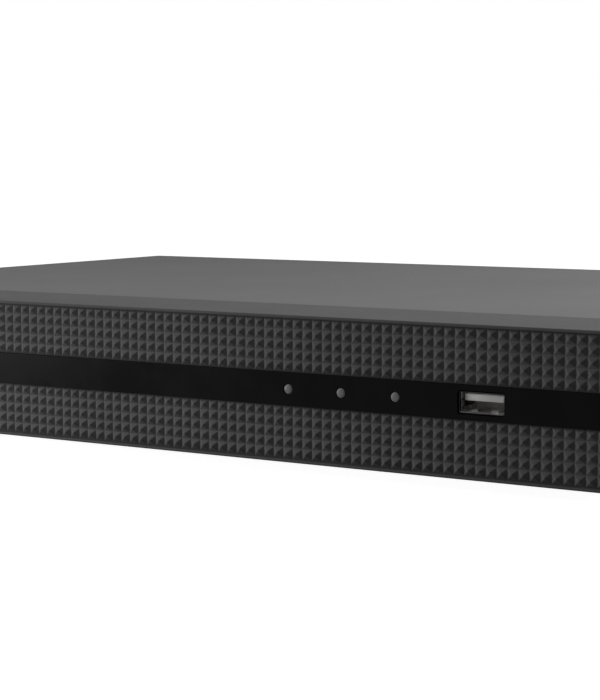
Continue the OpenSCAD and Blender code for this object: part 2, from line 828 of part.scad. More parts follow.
module top_cover() {
    front = bezel_d + fit_gap;
    lip_y = body_d + 0.1;
    tongue_z = body_h - bezel_wall - 0.1 - sheet_t;
    r = cover_bend_r;
    color("#3d3e40")
        in_case()
            difference() {
                union() {
                    upright(front, lip_y + sheet_t)
                        difference() {
                            union() {
                                translate([-cover_w / 2, 0])
                                    square([cover_w, body_h - r]);
                                translate([-cover_w / 2 + r, 0])
                                    square([cover_w - 2 * r, body_h]);
                                for (s = [-1, 1])
                                    translate([s * (cover_w / 2 - r), body_h - r])
                                        circle(r = r);
                            }
                            translate([-cover_w / 2 + sheet_t, -cut])
                                square([cover_w - 2 * sheet_t, body_h - r + cut]);
                            translate([-cover_w / 2 + r, -cut])
                                square([cover_w - 2 * r, body_h - sheet_t + cut]);
                            for (s = [-1, 1])
                                translate([s * (cover_w / 2 - r), body_h - r])
                                    circle(r = r - sheet_t);
                        }
                    block([-cover_w / 2 + r, lip_y, body_h - rear_lip_h],
                        [cover_w / 2 - r, lip_y + sheet_t, body_h - sheet_t / 2]);
                    block([-tray_w / 2 + 2, front, tongue_z],
                        [tray_w / 2 - 2, front + sheet_t, body_h - sheet_t / 2]);
                    block([-tray_w / 2 + 2, front - 5, tongue_z],
                        [tray_w / 2 - 2, front + sheet_t, tongue_z + sheet_t]);
                }
                for (s = [-1, 1])
                    sideways(s * cover_w / 2 - 2, s * cover_w / 2 + 2)
                        side_vents();
                for (s = [-1, 1], y = side_screw_y())
                    rod_x(screw_d + 2 * fit_gap, y, flange_h / 2,
                        s * cover_w / 2 - 2, s * cover_w / 2 + 2);
                for (x = lip_screw_x())
                    rod_y(screw_d + 2 * fit_gap, x, lip_screw_z(), lip_y - cut, lip_y + sheet_t + cut);
                upright(lip_y - cut, lip_y + sheet_t + cut)
                    rear_cutouts();
            }
}

module cover_screws() {
    color("#2c2d2e")
        in_case() {
            for (x = lip_screw_x())
                translate([x, body_d + 0.1 + sheet_t, lip_screw_z()])
                    pan_screw(screw_l);
            for (s = [-1, 1], y = side_screw_y())
                translate([s * cover_w / 2, y, flange_h / 2])
                    rotate(-90 * s)
                        pan_screw(screw_l);
        }
}

module feet() {
    r = foot_d / 2;
    color("#1a1a1a")
        for (x = [-1, 1], y = [tray_y + foot_inset_y, body_d - foot_inset_y])
            translate([x * (tray_w / 2 - foot_inset_x), y_front + y, 0])
                rotate_extrude()
                    difference() {
                        polygon([[0, 0], [r - 1.5, 0], [r, 1.5], [r, foot_h], [0, foot_h]]);
                        translate([-cut, -cut])
                            square([r * 0.45 + cut, 1 + cut]);
                    }
}

module main_board() {
    color("#1f5a34")
        in_case()
            difference() {
                block([-board_w / 2, board_y0, board_z - pcb_t], [board_w / 2, board_y1, board_z]);
                for (x = standoff_x, y = standoff_y)
                    rod_z(screw_d + 2 * fit_gap, x, y, 0, body_h);
            }
}

module standoffs() {
    color("#b59a4c")
        in_case()
            for (x = standoff_x, y = standoff_y)
                difference() {
                    rod_z(standoff_d, x, y, sheet_t, sheet_t + standoff_h);
                    rod_z(tap_d, x, y, 0, body_h);
                }
}

module board_screws() {
    color("#9a9c9f")
        in_case()
            for (x = standoff_x, y = standoff_y)
                translate([x, y, board_z])
                    rotate([90, 0, 0])
                        pan_screw(pcb_t + standoff_h - 0.3);
}

module processor() {
    color("#2a2b2e")
        in_case()
            translate([cpu_x - cpu_w / 2, cpu_y - cpu_w / 2, board_z])
                cube([cpu_w, cpu_w, cpu_h]);
}

module thermal_pad() {
    color("#8aa0b8")
        in_case()
            translate([cpu_x - cpu_w / 2, cpu_y - cpu_w / 2, board_z + cpu_h])
                cube([cpu_w, cpu_w, pad_t]);
}

module heat_sink() {
    base = board_z + cpu_h + pad_t;
    step = (sink_w - fin_t) / (sink_fins - 1);
    color("#a9acb0")
        in_case()
            translate([cpu_x - sink_w / 2, cpu_y - sink_w / 2, base]) {
                cube([sink_w, sink_w, sink_base_t]);
                for (i = [0:sink_fins - 1])
                    translate([i * step, 0, 0])
                        cube([fin_t, sink_w, sink_h]);
            }
}

module chips() {
    color("#26272a")
        in_case() {
            for (i = [0, 1], j = [0, 1])
                translate([memory_x + i * (memory_w + 3), cpu_y - 14 + j * 2 * memory_d, board_z])
                    cube([memory_w, memory_d, 1.2]);
            for (i = [0:3])
                translate([bnc_x - 4 - i * 2 * bnc_pitch_x, board_y1 - bnc_body_l - 14, board_z])
                    translate([-decoder_w, -decoder_w, 0])
                        cube([decoder_w, decoder_w, 1.4]);
        }
}

module capacitors() {
    color("#3a4456")
        in_case()
            for (i = [0:2], j = [0, 1])
                rod_z(cap_d, cap_x + i * (cap_d + 2), cap_y + j * (cap_d + 2), board_z, board_z + cap_h);
}

module inductors() {
    color("#55565a")
        in_case()
            for (i = [0:2])
                translate([coil_x + i * (coil_w + 3), coil_y, board_z])
                    cube([coil_w, coil_w, coil_h]);
}

module cell_holder() {
    wall = 1.2;
    color("#1d1e20")
        in_case()
            translate([cell_x, cell_y, board_z])
                difference() {
                    cylinder(d = cell_d + 2 * (fit_gap + wall), h = cell_t + 1);
                    translate([0, 0, 1])
                        cylinder(d = cell_d + 2 * fit_gap, h = cell_t + cut);
                    translate([-cell_d, -cell_d - cell_d * 0.3, 1])
                        cube([2 * cell_d, cell_d, cell_t + cut]);
                }
}

module coin_cell() {
    color("#c4c6c8")
        in_case()
            rod_z(cell_d, cell_x, cell_y, board_z + 1, board_z + 1 + cell_t);
}

module drive_headers() {
    color("#161719")
        in_case()
            for (i = [0, 1])
                translate([header_x + i * header_pitch - header_w / 2, board_y0 + 1, board_z])
                    cube([header_w, 7, 8.5]);
}

module bnc_housing() {
    color("#17181a")
        in_case()
            difference() {
                block([bnc_end, wall_y - fit_gap - bnc_body_l, board_z],
                    [bnc_end + bnc_w, wall_y - fit_gap, bnc_z + bnc_pitch_z + bnc_collar_d / 2 + 0.8]);
                for (i = [0:bnc_cols - 1], j = [0, 1])
                    rod_y(bnc_collar_d + 0.2, bnc_x - i * bnc_pitch_x, bnc_z + j * bnc_pitch_z,
                        wall_y - fit_gap - 6, wall_y);
            }
}

module bnc_places() {
    for (i = [0:bnc_cols - 1], j = [0, 1])
        translate([bnc_x - i * bnc_pitch_x, wall_y - fit_gap - 6, bnc_z + j * bnc_pitch_z])
            rotate([-90, 0, 0])
                children();
}

module bnc_shells() {
    collar = 6 + fit_gap + sheet_t + 0.6;
    tip = 6 + fit_gap + sheet_t + bnc_reach;
    r = bnc_d / 2;
    color("#c3c5c7")
        in_case()
            bnc_places() {
                rotate_extrude()
                    polygon([[0, 0], [bnc_collar_d / 2, 0], [bnc_collar_d / 2, collar], [r, collar],
                        [r, tip - 0.5], [r - 0.4, tip], [bnc_bore_d / 2, tip],
                        [bnc_bore_d / 2, collar - 2], [0, collar - 2]]);
                for (a = [90, 270])
                    rotate(a)
                        translate([r - 0.4, 0, tip - 5.2])
                            rotate([0, 90, 0])
                                cylinder(d = 2, h = 1.4);
            }
}

module bnc_cores() {
    floor_y = 6 + fit_gap + sheet_t - 1.4;
    color("#efeeea")
        in_case()
            bnc_places()
                translate([0, 0, floor_y])
                    difference() {
                        cylinder(d = bnc_core_d, h = bnc_reach - 1.6);
                        translate([0, 0, 3])
                            cylinder(d = 1.6, h = bnc_reach);
                    }
}

module rca_housing() {
    color("#17181a")
        in_case()
            block([rca_x - rca_w / 2, wall_y - fit_gap - 13, board_z],
                [rca_x + rca_w / 2, wall_y - fit_gap, rca_z + rca_pitch + rca_w / 2]);
}

module rca_places(j) {
    translate([rca_x, wall_y - fit_gap, rca_z + j * rca_pitch])
        rotate([-90, 0, 0])
            children();
}

// A coloured ring round the barrel's root and the insulator inside the barrel
module rca_insert() {
    difference() {
        cylinder(d = rca_d + 1.6, h = rca_ring_l);
        translate([0, 0, -cut])
            cylinder(d = rca_root_d + 2 * run_gap, h = rca_ring_l + 2 * cut);
    }
    difference() {
        cylinder(d = rca_root_d - 1.6 - 2 * run_gap, h = rca_ring_l + rca_reach - 3);
        translate([0, 0, 2])
            cylinder(d = 3.3, h = rca_ring_l + rca_reach);
    }
}

module rca_shells() {
    l = fit_gap + sheet_t + rca_reach;
    r = rca_d / 2;
    root = rca_root_d / 2;
    color("#c8cacb")
        in_case()
            for (j = [0, 1])
                rca_places(j)
                    rotate_extrude()
                        polygon([[root - 0.8, 0], [root, 0], [root, rca_ring_l + run_gap],
                            [r, rca_ring_l + run_gap], [r, l - 0.4], [r - 0.3, l], [root - 0.8, l]]);
}

module audio_in_insert() {
    color("#b3262a")
        in_case()
            rca_places(0)
                rca_insert();
}

module audio_out_insert() {
    color("#e9e9e6")
        in_case()
            rca_places(1)
                rca_insert();
}

// HDMI mouth: a rectangle with its two lower corners cut away
module hdmi_outline(grow) {
    w = hdmi_w / 2 + grow;
    h = hdmi_h / 2 + grow;
    polygon([[-w, h], [w, h], [w, -h + 2], [w - 1.6, -h], [-w + 1.6, -h], [-w, -h + 2]]);
}

module hdmi_shell() {
    color("#b4b6b8")
        in_case()
            translate([hdmi_x, 0, board_z + hdmi_h / 2])
                difference() {
                    upright(wall_y - 11, body_d + 0.6)
                        hdmi_outline(0);
                    upright(wall_y - 11 + shell_t, body_d + 0.6 + cut)
                        hdmi_outline(-shell_t);
                }
}

module hdmi_tongue() {
    w = hdmi_w / 2 - 1.8;
    color("#1b1c1e")
        in_case()
            translate([hdmi_x, 0, board_z + hdmi_h / 2]) {
                block([-w, wall_y - 7, -0.4], [w, body_d - 0.6, 1.4]);
                upright(wall_y - 11 + shell_t, wall_y - 7)
                    hdmi_outline(-shell_t);
            }
}

// D-shaped mouth of the VGA socket
module vga_outline(grow) {
    top = vga_mouth_w / 2 + grow;
    low = top - vga_mouth_h * 0.175;
    h = vga_mouth_h / 2 + grow;
    polygon([[-top, h], [top, h], [low, -h], [-low, -h]]);
}

module vga_shell() {
    color("#c0c2c4")
        in_case()
            translate([vga_x, 0, board_z + vga_h / 2])
                difference() {
                    union() {
                        upright(wall_y - fit_gap - 1, wall_y - fit_gap)
                            square([vga_w, vga_h], center = true);
                        upright(wall_y - fit_gap - 1, body_d + vga_reach)
                            vga_outline(0.4);
                    }
                    upright(wall_y - 3, body_d + vga_reach + cut)
                        vga_outline(0);
                    for (s = [-1, 1])
                        rod_y(3.2, s * vga_post_pitch / 2, 0, wall_y - 3, body_d);
                }
}

module vga_insert() {
    color("#23478f")
        in_case()
            translate([vga_x, 0, board_z + vga_h / 2])
                difference() {
                    union() {
                        upright(wall_y - fit_gap - 1, body_d + vga_reach - 0.4)
                            vga_outline(-0.1);
                        block([-vga_w / 2, wall_y - fit_gap - 1 - vga_body_l, -vga_h / 2],
                            [vga_w / 2, wall_y - fit_gap - 1, vga_h / 2]);
                    }
                    for (row = [-1:1], i = [-2:2])
                        rod_y(1.1, i * 2.3 + row * 0.6, row * vga_mouth_h / 4, body_d, body_d + vga_reach);
                    for (s = [-1, 1])
                        rod_y(3.2, s * vga_post_pitch / 2, 0, wall_y - vga_body_l * 0.8, body_d);
                }
}

module vga_posts() {
    color("#b9bbbd")
        in_case()
            for (s = [-1, 1])
                translate([vga_x + s * vga_post_pitch / 2, 0, board_z + vga_h / 2])
                    difference() {
                        union() {
                            translate([0, body_d, 0])
                                rotate([-90, 0, 0])
                                    cylinder(d = 5.4, h = vga_reach, $fn = 6);
                            rod_y(3, 0, 0, wall_y - vga_body_l * 0.6, body_d + 1);
                        }
                        rod_y(2.5, 0, 0, body_d - 1, body_d + vga_reach + cut);
                    }
}

module lan_shell() {
    y0 = wall_y - lan_l + 2;
    color("#bcbec0")
        in_case()
            translate([lan_x, 0, board_z])
                difference() {
                    block([-lan_w / 2, y0, 0], [lan_w / 2, body_d + 0.8, lan_h]);
                    block([-lan_w / 2 + shell_t, y0 + shell_t, shell_t],
                        [lan_w / 2 - shell_t, body_d + 0.8 + cut, lan_h - shell_t]);
                }
}

module lan_insert() {
    y0 = wall_y - lan_l + 2 + shell_t;
    y1 = body_d + 0.6;
    low = 3.6;
    color("#1b1c1e")
        in_case()
            translate([lan_x, 0, board_z])
                difference() {
                    block([-lan_w / 2 + shell_t, y0, shell_t],
                        [lan_w / 2 - shell_t, y1, lan_h - shell_t]);
                    block([-lan_open_w / 2, y1 - lan_open_l, low],
                        [lan_open_w / 2, y1 + cut, low + lan_open_h]);
                    block([-3.1, y1 - 9, low - 1.6], [3.1, y1 + cut, low + cut]);
                    block([-1.6, y1 - 9, low - 2.6], [1.6, y1 + cut, low]);
                }
}

module rear_usb() {
    translate([rear_usb_x, body_d + 0.6, board_z + usb_h / 2])
        rotate(180)
            children();
}

module rear_usb_shell() {
    color("#b4b6b8")
        in_case()
            rear_usb()
                usb_shell();
}

module rear_usb_tongue() {
    color("#e8e8e6")
        in_case()
            rear_usb()
                usb_tongue();
}

module terminal_block() {
    color("#2f7d3f")
        in_case()
            translate([term_x, 0, board_z])
                difference() {
                    block([-term_w / 2, wall_y - 9, 0], [term_w / 2, body_d + 1.5, term_h]);
                    for (s = [-1, 1]) {
                        upright(body_d - 4, body_d + 1.5 + cut)
                            translate([s * term_w / 4, term_h * 0.35])
                                square([3, 3.4], center = true);
                        rod_y(3, s * term_w / 4, term_h * 0.75, body_d, body_d + 1.5 + cut);
                    }
                }
}

module dc_jack() {
    z = board_z + dc_h / 2;
    color("#17181a")
        in_case()
            difference() {
                union() {
                    block([dc_x - dc_w / 2, wall_y - fit_gap - 13, board_z],
                        [dc_x + dc_w / 2, wall_y - fit_gap, board_z + dc_h]);
                    rod_y(dc_bore_d + 2.4, dc_x, z, wall_y - fit_gap - 1, body_d + 0.5);
                }
                rod_y(dc_bore_d, dc_x, z, body_d - 9.5, body_d + 0.5 + cut);
            }
}

module dc_pin() {
    color("#c9cbcd")
        in_case()
            rod_y(dc_pin_d, dc_x, board_z + dc_h / 2, body_d - 9.5, body_d - 0.8);
}

module ground_screw() {
    color("#c2b27a")
        in_case()
            translate([ground_x, body_d, mid_z])
                difference() {
                    union() {
                        rod_y(screw_d, 0, 0, -screw_l, 1);
                        rod_y(ground_d, 0, 0, 0, 0.8);
                        rod_y(ground_d - 1.6, 0, 0, 0.8, 3);
                    }
                    block([-0.5, 1.8, -ground_d / 2], [0.5, 3 + cut, ground_d / 2]);
                }
}

// The switch in its own place: pivot at the origin, Y out of the rear wall
module at_switch() {
    translate([switch_x, body_d - rocker_depth, mid_z])
        children();
}

module switch_housing() {
    w = rocker_w / 2 + fit_gap;
    h = rocker_h / 2 + rocker_swing;
    face = rocker_depth + 1.8;
    color("#1c1d1f")
        in_case()
            at_switch()
                difference() {
                    union() {
                        block([-switch_w / 2, -switch_l, -switch_h / 2],
                            [switch_w / 2, face, switch_h / 2]);
                        block([-switch_w / 2 - switch_lip, rocker_depth, -switch_h / 2 - switch_lip],
                            [switch_w / 2 + switch_lip, face, switch_h / 2 + switch_lip]);
                    }
                    block([-w, -3.6, -h], [w, face + cut, h]);
                    rod_x(2 + 2 * run_gap, 0, 0, -w - switch_wall * 0.7, w + switch_wall * 0.7);
                }
}

module rocker() {
    h = rocker_h / 2;
    rise = tan(rocker_tilt) * h;
    color("#232427")
        in_case()
            at_switch()
                rotate([rocker_tilt, 0, 0]) {
                    sideways(-rocker_w / 2, rocker_w / 2) {
                        polygon([[-0.4, -h], [rocker_rise + rise, -h], [rocker_rise, 0],
                            [rocker_rise + rise, h], [-0.4, h]]);
                        circle(r = 2.4);
                    }
                    rod_x(2, 0, 0, -rocker_w / 2 - fit_gap - switch_wall * 0.6,
                        rocker_w / 2 + fit_gap + switch_wall * 0.6);
                }
}

// Two leads from the switch that turn down to the board
module switch_leads() {
    d = 1.6;
    r = 5;
    y = body_d - rocker_depth - switch_l;
    color("#a02a26")
        in_case()
            for (s = [-1, 1])
                translate([switch_x + s * 2.5, y, mid_z]) {
                    rod_y(d, 0, 0, -4, 0);
                    translate([0, -4, -r])
                        rotate([90, 0, 90])
                            rotate(90)
                                rotate_extrude(angle = 90)
                                    translate([r, 0])
                                        circle(d = d);
                    rod_z(d, 0, -4 - r, board_z - mid_z, -r);
                }
}

module hdd_bay() {
    rod_z(platter_d + 2 * platter_gap, platter_x, platter_y, hdd_z0 + hdd_floor, hdd_z0 + hdd_h);
    block([platter_x + spindle_d / 2, bay_y0, hdd_z0 + hdd_floor], [bay_x1, bay_y1, hdd_z0 + hdd_h]);
}

module hdd_casting() {
    top = hdd_z0 + hdd_h - lid_t;
    color("#8b8d90")
        in_case()
            difference() {
                union() {
                    difference() {
                        block([hdd_x0, hdd_y0, hdd_z0], [hdd_x1, hdd_y1, top]);
                        hdd_bay();
                    }
                    rod_z(spindle_post_d, platter_x, platter_y,
                        hdd_z0 + hdd_floor - 1, hdd_z0 + hdd_floor + hub_h);
                    rod_z(pivot_post_d, platter_x + arm_dx, platter_y + arm_dy,
                        hdd_z0 + hdd_floor - 1, hdd_z0 + hdd_floor + hub_h);
                }
                block([hdd_x0 + hdd_recess_x, hdd_y0 + hdd_recess_y, hdd_z0 - cut],
                    [hdd_x1 + cut, hdd_y1 - hdd_recess_y, hdd_z0 + hdd_recess_h]);
                for (x = hdd_hole_x, y = hdd_hole_y)
                    rod_z(tap_d, x, y, hdd_z0 - cut, hdd_z0 + 5.5);
                for (s = [0, 1])
                    translate([0, hdd_y0 + s * (hdd_w - 3), 0])
                        block([hdd_x0 - cut, -cut, top - 6], [hdd_x0 + 18, 3 + cut, top + cut]);
            }
}

module hdd_lid() {
    top = hdd_z0 + hdd_h;
    color("#b9bcc0")
        in_case()
            difference() {
                block([hdd_x0 + 1, hdd_y0 + 1, top - lid_t], [hdd_x1 - 1, hdd_y1 - 1, top]);
                rod_z(spindle_d + 6, platter_x, platter_y, top - 0.4, top + cut);
            }
}

module hdd_board() {
    color("#1d3f66")
        in_case() {
            block([hdd_x0 + hdd_recess_x + 2, hdd_y0 + hdd_recess_y + 2, hdd_z0 + hdd_recess_h - pcb_t],
                [hdd_x1 - hdd_plug_l, hdd_y1 - hdd_recess_y - 2, hdd_z0 + hdd_recess_h]);
            block([hdd_x1 - hdd_plug_l, hdd_plug_y, hdd_z0 + 0.4],
                [hdd_x1, hdd_plug_y + hdd_plug_w, hdd_z0 + hdd_recess_h]);
        }
}

module platters() {
    color("#d3d5d8")
        in_case()
            translate([platter_x, platter_y, hdd_z0 + hdd_floor + run_gap])
                difference() {
                    union() {
                        cylinder(d = spindle_d, h = hub_h);
                        for (i = [0, 1])
                            translate([0, 0, platter_z + i * platter_pitch])
                                cylinder(d = platter_d, h = platter_t);
                    }
                    translate([0, 0, -cut])
                        cylinder(d = spindle_post_d + 2 * run_gap, h = hub_h + 2 * cut);
                }
}

// The three head arms and the coil's fork on one hub, parked off the platters
module head_arm() {
    tip = arm_l;
    color("#a8abb0")
        in_case()
            translate([platter_x + arm_dx, platter_y + arm_dy, hdd_z0 + hdd_floor + run_gap])
                rotate(park_angle)
                    difference() {
                        union() {
                            cylinder(d = pivot_d, h = hub_h);
                            for (i = [0:2])
                                translate([0, 0,
                                    platter_z + (i - 0.5) * platter_pitch + platter_t / 2 - 0.4])
                                    linear_extrude(0.8)
                                        polygon([[0, -4], [tip * 0.88, -1.4], [tip, -0.8], [tip, 0.8],
                                            [tip * 0.88, 1.4], [0, 4]]);
                            translate([0, 0, hub_h / 2 - 1.2])
                                linear_extrude(2.4)
                                    polygon([[0, -4], [0, 4], [2 - fork_l, fork_w / 2], [-fork_l, 0],
                                        [2 - fork_l, -fork_w / 2]]);
                        }
                        translate([0, 0, -cut])
                            cylinder(d = pivot_post_d + 2 * run_gap, h = hub_h + 2 * cut);
                    }
}

module hdd_screws() {
    color("#9a9c9f")
        in_case()
            for (x = hdd_hole_x, y = hdd_hole_y)
                translate([x, y, 0])
                    rotate([-90, 0, 0])
                        pan_screw(hdd_z0 + 4);
}

// Data and power cables from the drive's end round to the headers, plugs included
module drive_cables() {
    r = 8;
    t = 2;
    plug_w = 16;
    plug_l = 6;
    low = board_z + 0.6;
    high = low + 6;
    color("#8d1f22")
        in_case()
            for (i = [0, 1]) {
                end_x = header_x + i * header_pitch;
                y = hdd_plug_y + hdd_plug_w * (0.75 - i / 2);
                block([hdd_x1, y - plug_w / 2, hdd_z0 + 0.4], [hdd_x1 + plug_l, y + plug_w / 2, high]);
                block([hdd_x1 + plug_l, y - t / 2, low], [end_x - r, y + t / 2, high]);
                translate([end_x - r, y + r, low])
                    rotate(-90)
                        rotate_extrude(angle = 90)
                            translate([r - t / 2, 0])
                                square([t, high - low]);
                block([end_x - t / 2, y + r, low], [end_x + t / 2, board_y0 - 5, high]);
                block([end_x - header_w / 2, board_y0 - 5, low],
                    [end_x + header_w / 2, board_y0 + 1, high]);
            }
}

// The fan in its own place: axis along X, outlet at the tray's fan wall
module at_fan() {
    translate([fan_x1, fan_y, fan_z])
        rotate([0, -90, 0])
            children();
}

module fan_frame() {
    color("#1d1e20")
        in_case()
            at_fan()
                difference() {
                    union() {
                        difference() {
                            linear_extrude(fan_t)
                                round_rect(fan_w, fan_w, 3);
                            translate([0, 0, -cut])
                                cylinder(d = fan_bore_d, h = fan_t + 2 * cut);
                        }
                        translate([0, 0, fan_t - fan_back_t])
                            cylinder(d = fan_hub_d - 1, h = fan_back_t);
                        for (a = [45, 135, 225, 315])
                            rotate(a)
                                translate([0, -1, fan_t - fan_back_t])
                                    cube([fan_bore_d / 2 + 0.5, 2, fan_back_t]);
                        translate([0, 0, 3])
                            cylinder(d = bearing_d, h = fan_t - 3);
                    }
                    translate([0, 0, 2])
                        cylinder(d = shaft_d + 2 * run_gap, h = fan_t - 2 - 0.6);
                    for (x = [-1, 1], y = [-1, 1])
                        translate([x * fan_hole, y * fan_hole, -cut])
                            cylinder(d = tap_d, h = fan_t + 2 * cut);
                }
}

module fan_rotor() {
    depth = fan_t - fan_back_t - 1.4;
    tip = fan_bore_d / 2 - 0.6;
    color("#2d2f33")
        in_case()
            at_fan()
                translate([0, 0, 0.8]) {
                    difference() {
                        cylinder(d = fan_hub_d, h = depth);
                        translate([0, 0, 1.4])
                            cylinder(d = fan_hub_d - 2.4, h = depth);
                    }
                    cylinder(d = shaft_d, h = fan_t - 2);
                    intersection() {
                        difference() {
                            cylinder(r = tip, h = depth);
                            cylinder(d = fan_hub_d - 1, h = depth);
                        }
                        for (i = [0:blade_count - 1])
                            rotate(i * 360 / blade_count)
                                translate([fan_hub_d / 2 - 1, 0, depth / 2])
                                    rotate([blade_pitch, 0, 0])
                                        translate([0, -depth, -blade_t / 2])
                                            cube([tip, 2 * depth, blade_t]);
                    }
                }
}

module fan_screws() {
    color("#9a9c9f")
        in_case()
            for (y = [-1, 1], z = [-1, 1])
                translate([fan_x0, fan_y + y * fan_hole, fan_z + z * fan_hole])
                    rotate(90)
                        pan_screw(fan_t + sheet_t);
}

front_bezel();
upper_panel();
lower_panel();
front_band();
light_pipe();
indicator_leds();
front_board();
front_screws();
front_usb_shell();
front_usb_tongue();
front_cable();
base_tray();
top_cover();
cover_screws();
feet();
main_board();
standoffs();
board_screws();
processor();
thermal_pad();
heat_sink();
chips();
capacitors();
inductors();
cell_holder();
coin_cell();
drive_headers();
bnc_housing();
bnc_shells();
bnc_cores();
rca_housing();
rca_shells();
audio_in_insert();
audio_out_insert();
hdmi_shell();
hdmi_tongue();
vga_shell();
vga_insert();
vga_posts();
lan_shell();
lan_insert();
rear_usb_shell();
rear_usb_tongue();
terminal_block();
dc_jack();
dc_pin();
ground_screw();
switch_housing();
rocker();
switch_leads();
hdd_casting();
hdd_lid();
hdd_board();
platters();
head_arm();
hdd_screws();
drive_cables();
fan_frame();
fan_rotor();
fan_screws();
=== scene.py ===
"""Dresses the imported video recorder: textured front, finishes, small hardware, studio and camera."""

import json
import math
import random

import bmesh
import bpy
from bpy.props import FloatProperty, FloatVectorProperty, IntProperty, PointerProperty
from mathutils import Matrix, Vector

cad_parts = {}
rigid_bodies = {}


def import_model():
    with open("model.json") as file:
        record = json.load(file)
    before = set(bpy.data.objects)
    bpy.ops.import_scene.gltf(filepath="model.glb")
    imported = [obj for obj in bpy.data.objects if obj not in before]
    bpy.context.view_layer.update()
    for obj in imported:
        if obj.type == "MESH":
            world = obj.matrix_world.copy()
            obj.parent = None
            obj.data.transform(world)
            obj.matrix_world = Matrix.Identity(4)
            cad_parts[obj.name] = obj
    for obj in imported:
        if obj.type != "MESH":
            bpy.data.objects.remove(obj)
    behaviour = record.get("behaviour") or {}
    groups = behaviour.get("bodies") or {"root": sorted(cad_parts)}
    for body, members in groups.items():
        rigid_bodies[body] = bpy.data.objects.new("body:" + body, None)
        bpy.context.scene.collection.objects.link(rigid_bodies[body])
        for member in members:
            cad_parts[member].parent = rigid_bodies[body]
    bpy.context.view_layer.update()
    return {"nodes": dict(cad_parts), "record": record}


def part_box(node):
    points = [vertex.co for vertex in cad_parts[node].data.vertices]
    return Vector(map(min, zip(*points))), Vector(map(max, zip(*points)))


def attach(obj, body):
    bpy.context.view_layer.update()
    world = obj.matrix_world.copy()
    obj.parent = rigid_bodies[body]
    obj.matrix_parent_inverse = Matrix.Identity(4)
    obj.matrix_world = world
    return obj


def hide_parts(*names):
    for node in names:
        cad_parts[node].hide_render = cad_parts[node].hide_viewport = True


bl_info = {
    "name": "Video recorder dressing",
    "version": (1, 0, 0),
    "blender": (4, 5, 0),
    "location": "View3D > Sidebar > Recorder",
    "description": "Builds the visible detail and the finishes of a compact video recorder",
    "category": "Object",
}

for leftover in list(bpy.data.objects):
    bpy.data.objects.remove(leftover)
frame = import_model()
SLOT_OF = {part["node"]: part["material_slot"] for part in frame["record"]["subparts"]}
MM = 0.001
QUARTER = math.pi / 2

# Points nearer than WELD are one point, faces within FLAT of each other are one face, and an edge
# that turns by more than TURN is eased
WELD = 0.002 * MM
FLAT = math.radians(0.5)
TURN = math.radians(40.0)


# Settings

def length(label, text, value, low, high):
    """A size that is written in millimetres and kept in metres."""
    return FloatProperty(
        name=label, description=text, default=value * MM, min=low * MM, max=high * MM,
        unit="LENGTH", precision=5,
    )


def angle(label, text, degrees):
    """An angle that is written in degrees and kept in radians."""
    return FloatProperty(
        name=label, description=text, default=math.radians(degrees), subtype="ANGLE", unit="ROTATION",
    )


def colour(label, text, red, green, blue):
    """A finish's base colour."""
    return FloatVectorProperty(
        name=label, description=text, default=(red, green, blue), min=0.0, max=1.0, size=3,
        subtype="COLOR",
    )


def share(label, text, value):
    """A number from 0 to 1."""
    return FloatProperty(
        name=label, description=text, default=value, min=0.0, max=1.0, subtype="FACTOR",
    )


def power(label, text, watts):
    """A lamp's power."""
    return FloatProperty(name=label, description=text, default=watts, min=0.0, unit="POWER")


class RecorderStuds(bpy.types.PropertyGroup):
    """The moulded studs of the two front panels."""

    pitch_x: length("Pitch along the front", "Spacing of the studs along the front", 3.1, 2.5, 4.0)
    pitch_z: length("Pitch up the front", "Spacing of the studs up the front", 2.95, 2.5, 4.0)
    height: length("Stud height", "From the valleys to the tips", 1.1, 0.3, 1.4)
    tip: length("Tip width", "Width of the small flat on a stud", 0.3, 0.1, 1.0)
    easing: length("Easing", "Width of the eased edges", 0.12, 0.03, 0.2)


class RecorderEdges(bpy.types.PropertyGroup):
    """Widths of the eased edges."""

    bezel: length("Bezel edges", "Easing of the front bezel", 0.3, 0.05, 0.4)
    sheet: length("Sheet edges", "Easing of bent and punched sheet", 0.2, 0.05, 0.3)
    moulding: length("Moulding edges", "Easing of moulded and cast pieces", 0.15, 0.05, 0.2)
    fine: length("Fine edges", "Easing of small pieces", 0.08, 0.02, 0.1)


class RecorderHardware(bpy.types.PropertyGroup):
    """Small parts that the CAD solids only outline."""

    pipe_d: length("Light pipe diameter", "Diameter of an indicator's light pipe", 2.8, 2.0, 3.0)
    pipe_bar: length("Light pipe bar", "Thickness of the bar that joins the pipes", 1.5, 1.0, 2.0)
    pipe_dome: length("Light pipe dome", "Rise of the dome on a pipe's tip", 0.35, 0.1, 0.6)
    shell_wall: length("Shell wall", "Sheet thickness of the USB shells", 0.3, 0.2, 0.4)
    finger_w: length("Spring width", "Width of a spring finger in a USB shell", 1.9, 1.0, 3.0)
    finger_rise: length("Spring rise", "How far a spring finger stands into the shell", 0.45, 0.2, 0.7)
    recess: length("Driver recess", "Depth of the cross recess in a screw head", 0.8, 0.3, 1.0)
    thread: length("Thread pitch", "Spacing of the ridges on a screw", 0.5, 0.3, 0.8)
    small_parts: IntProperty(
        name="Small parts", description="Resistors and capacitors on the main board", default=170,
        min=0, max=400,
    )


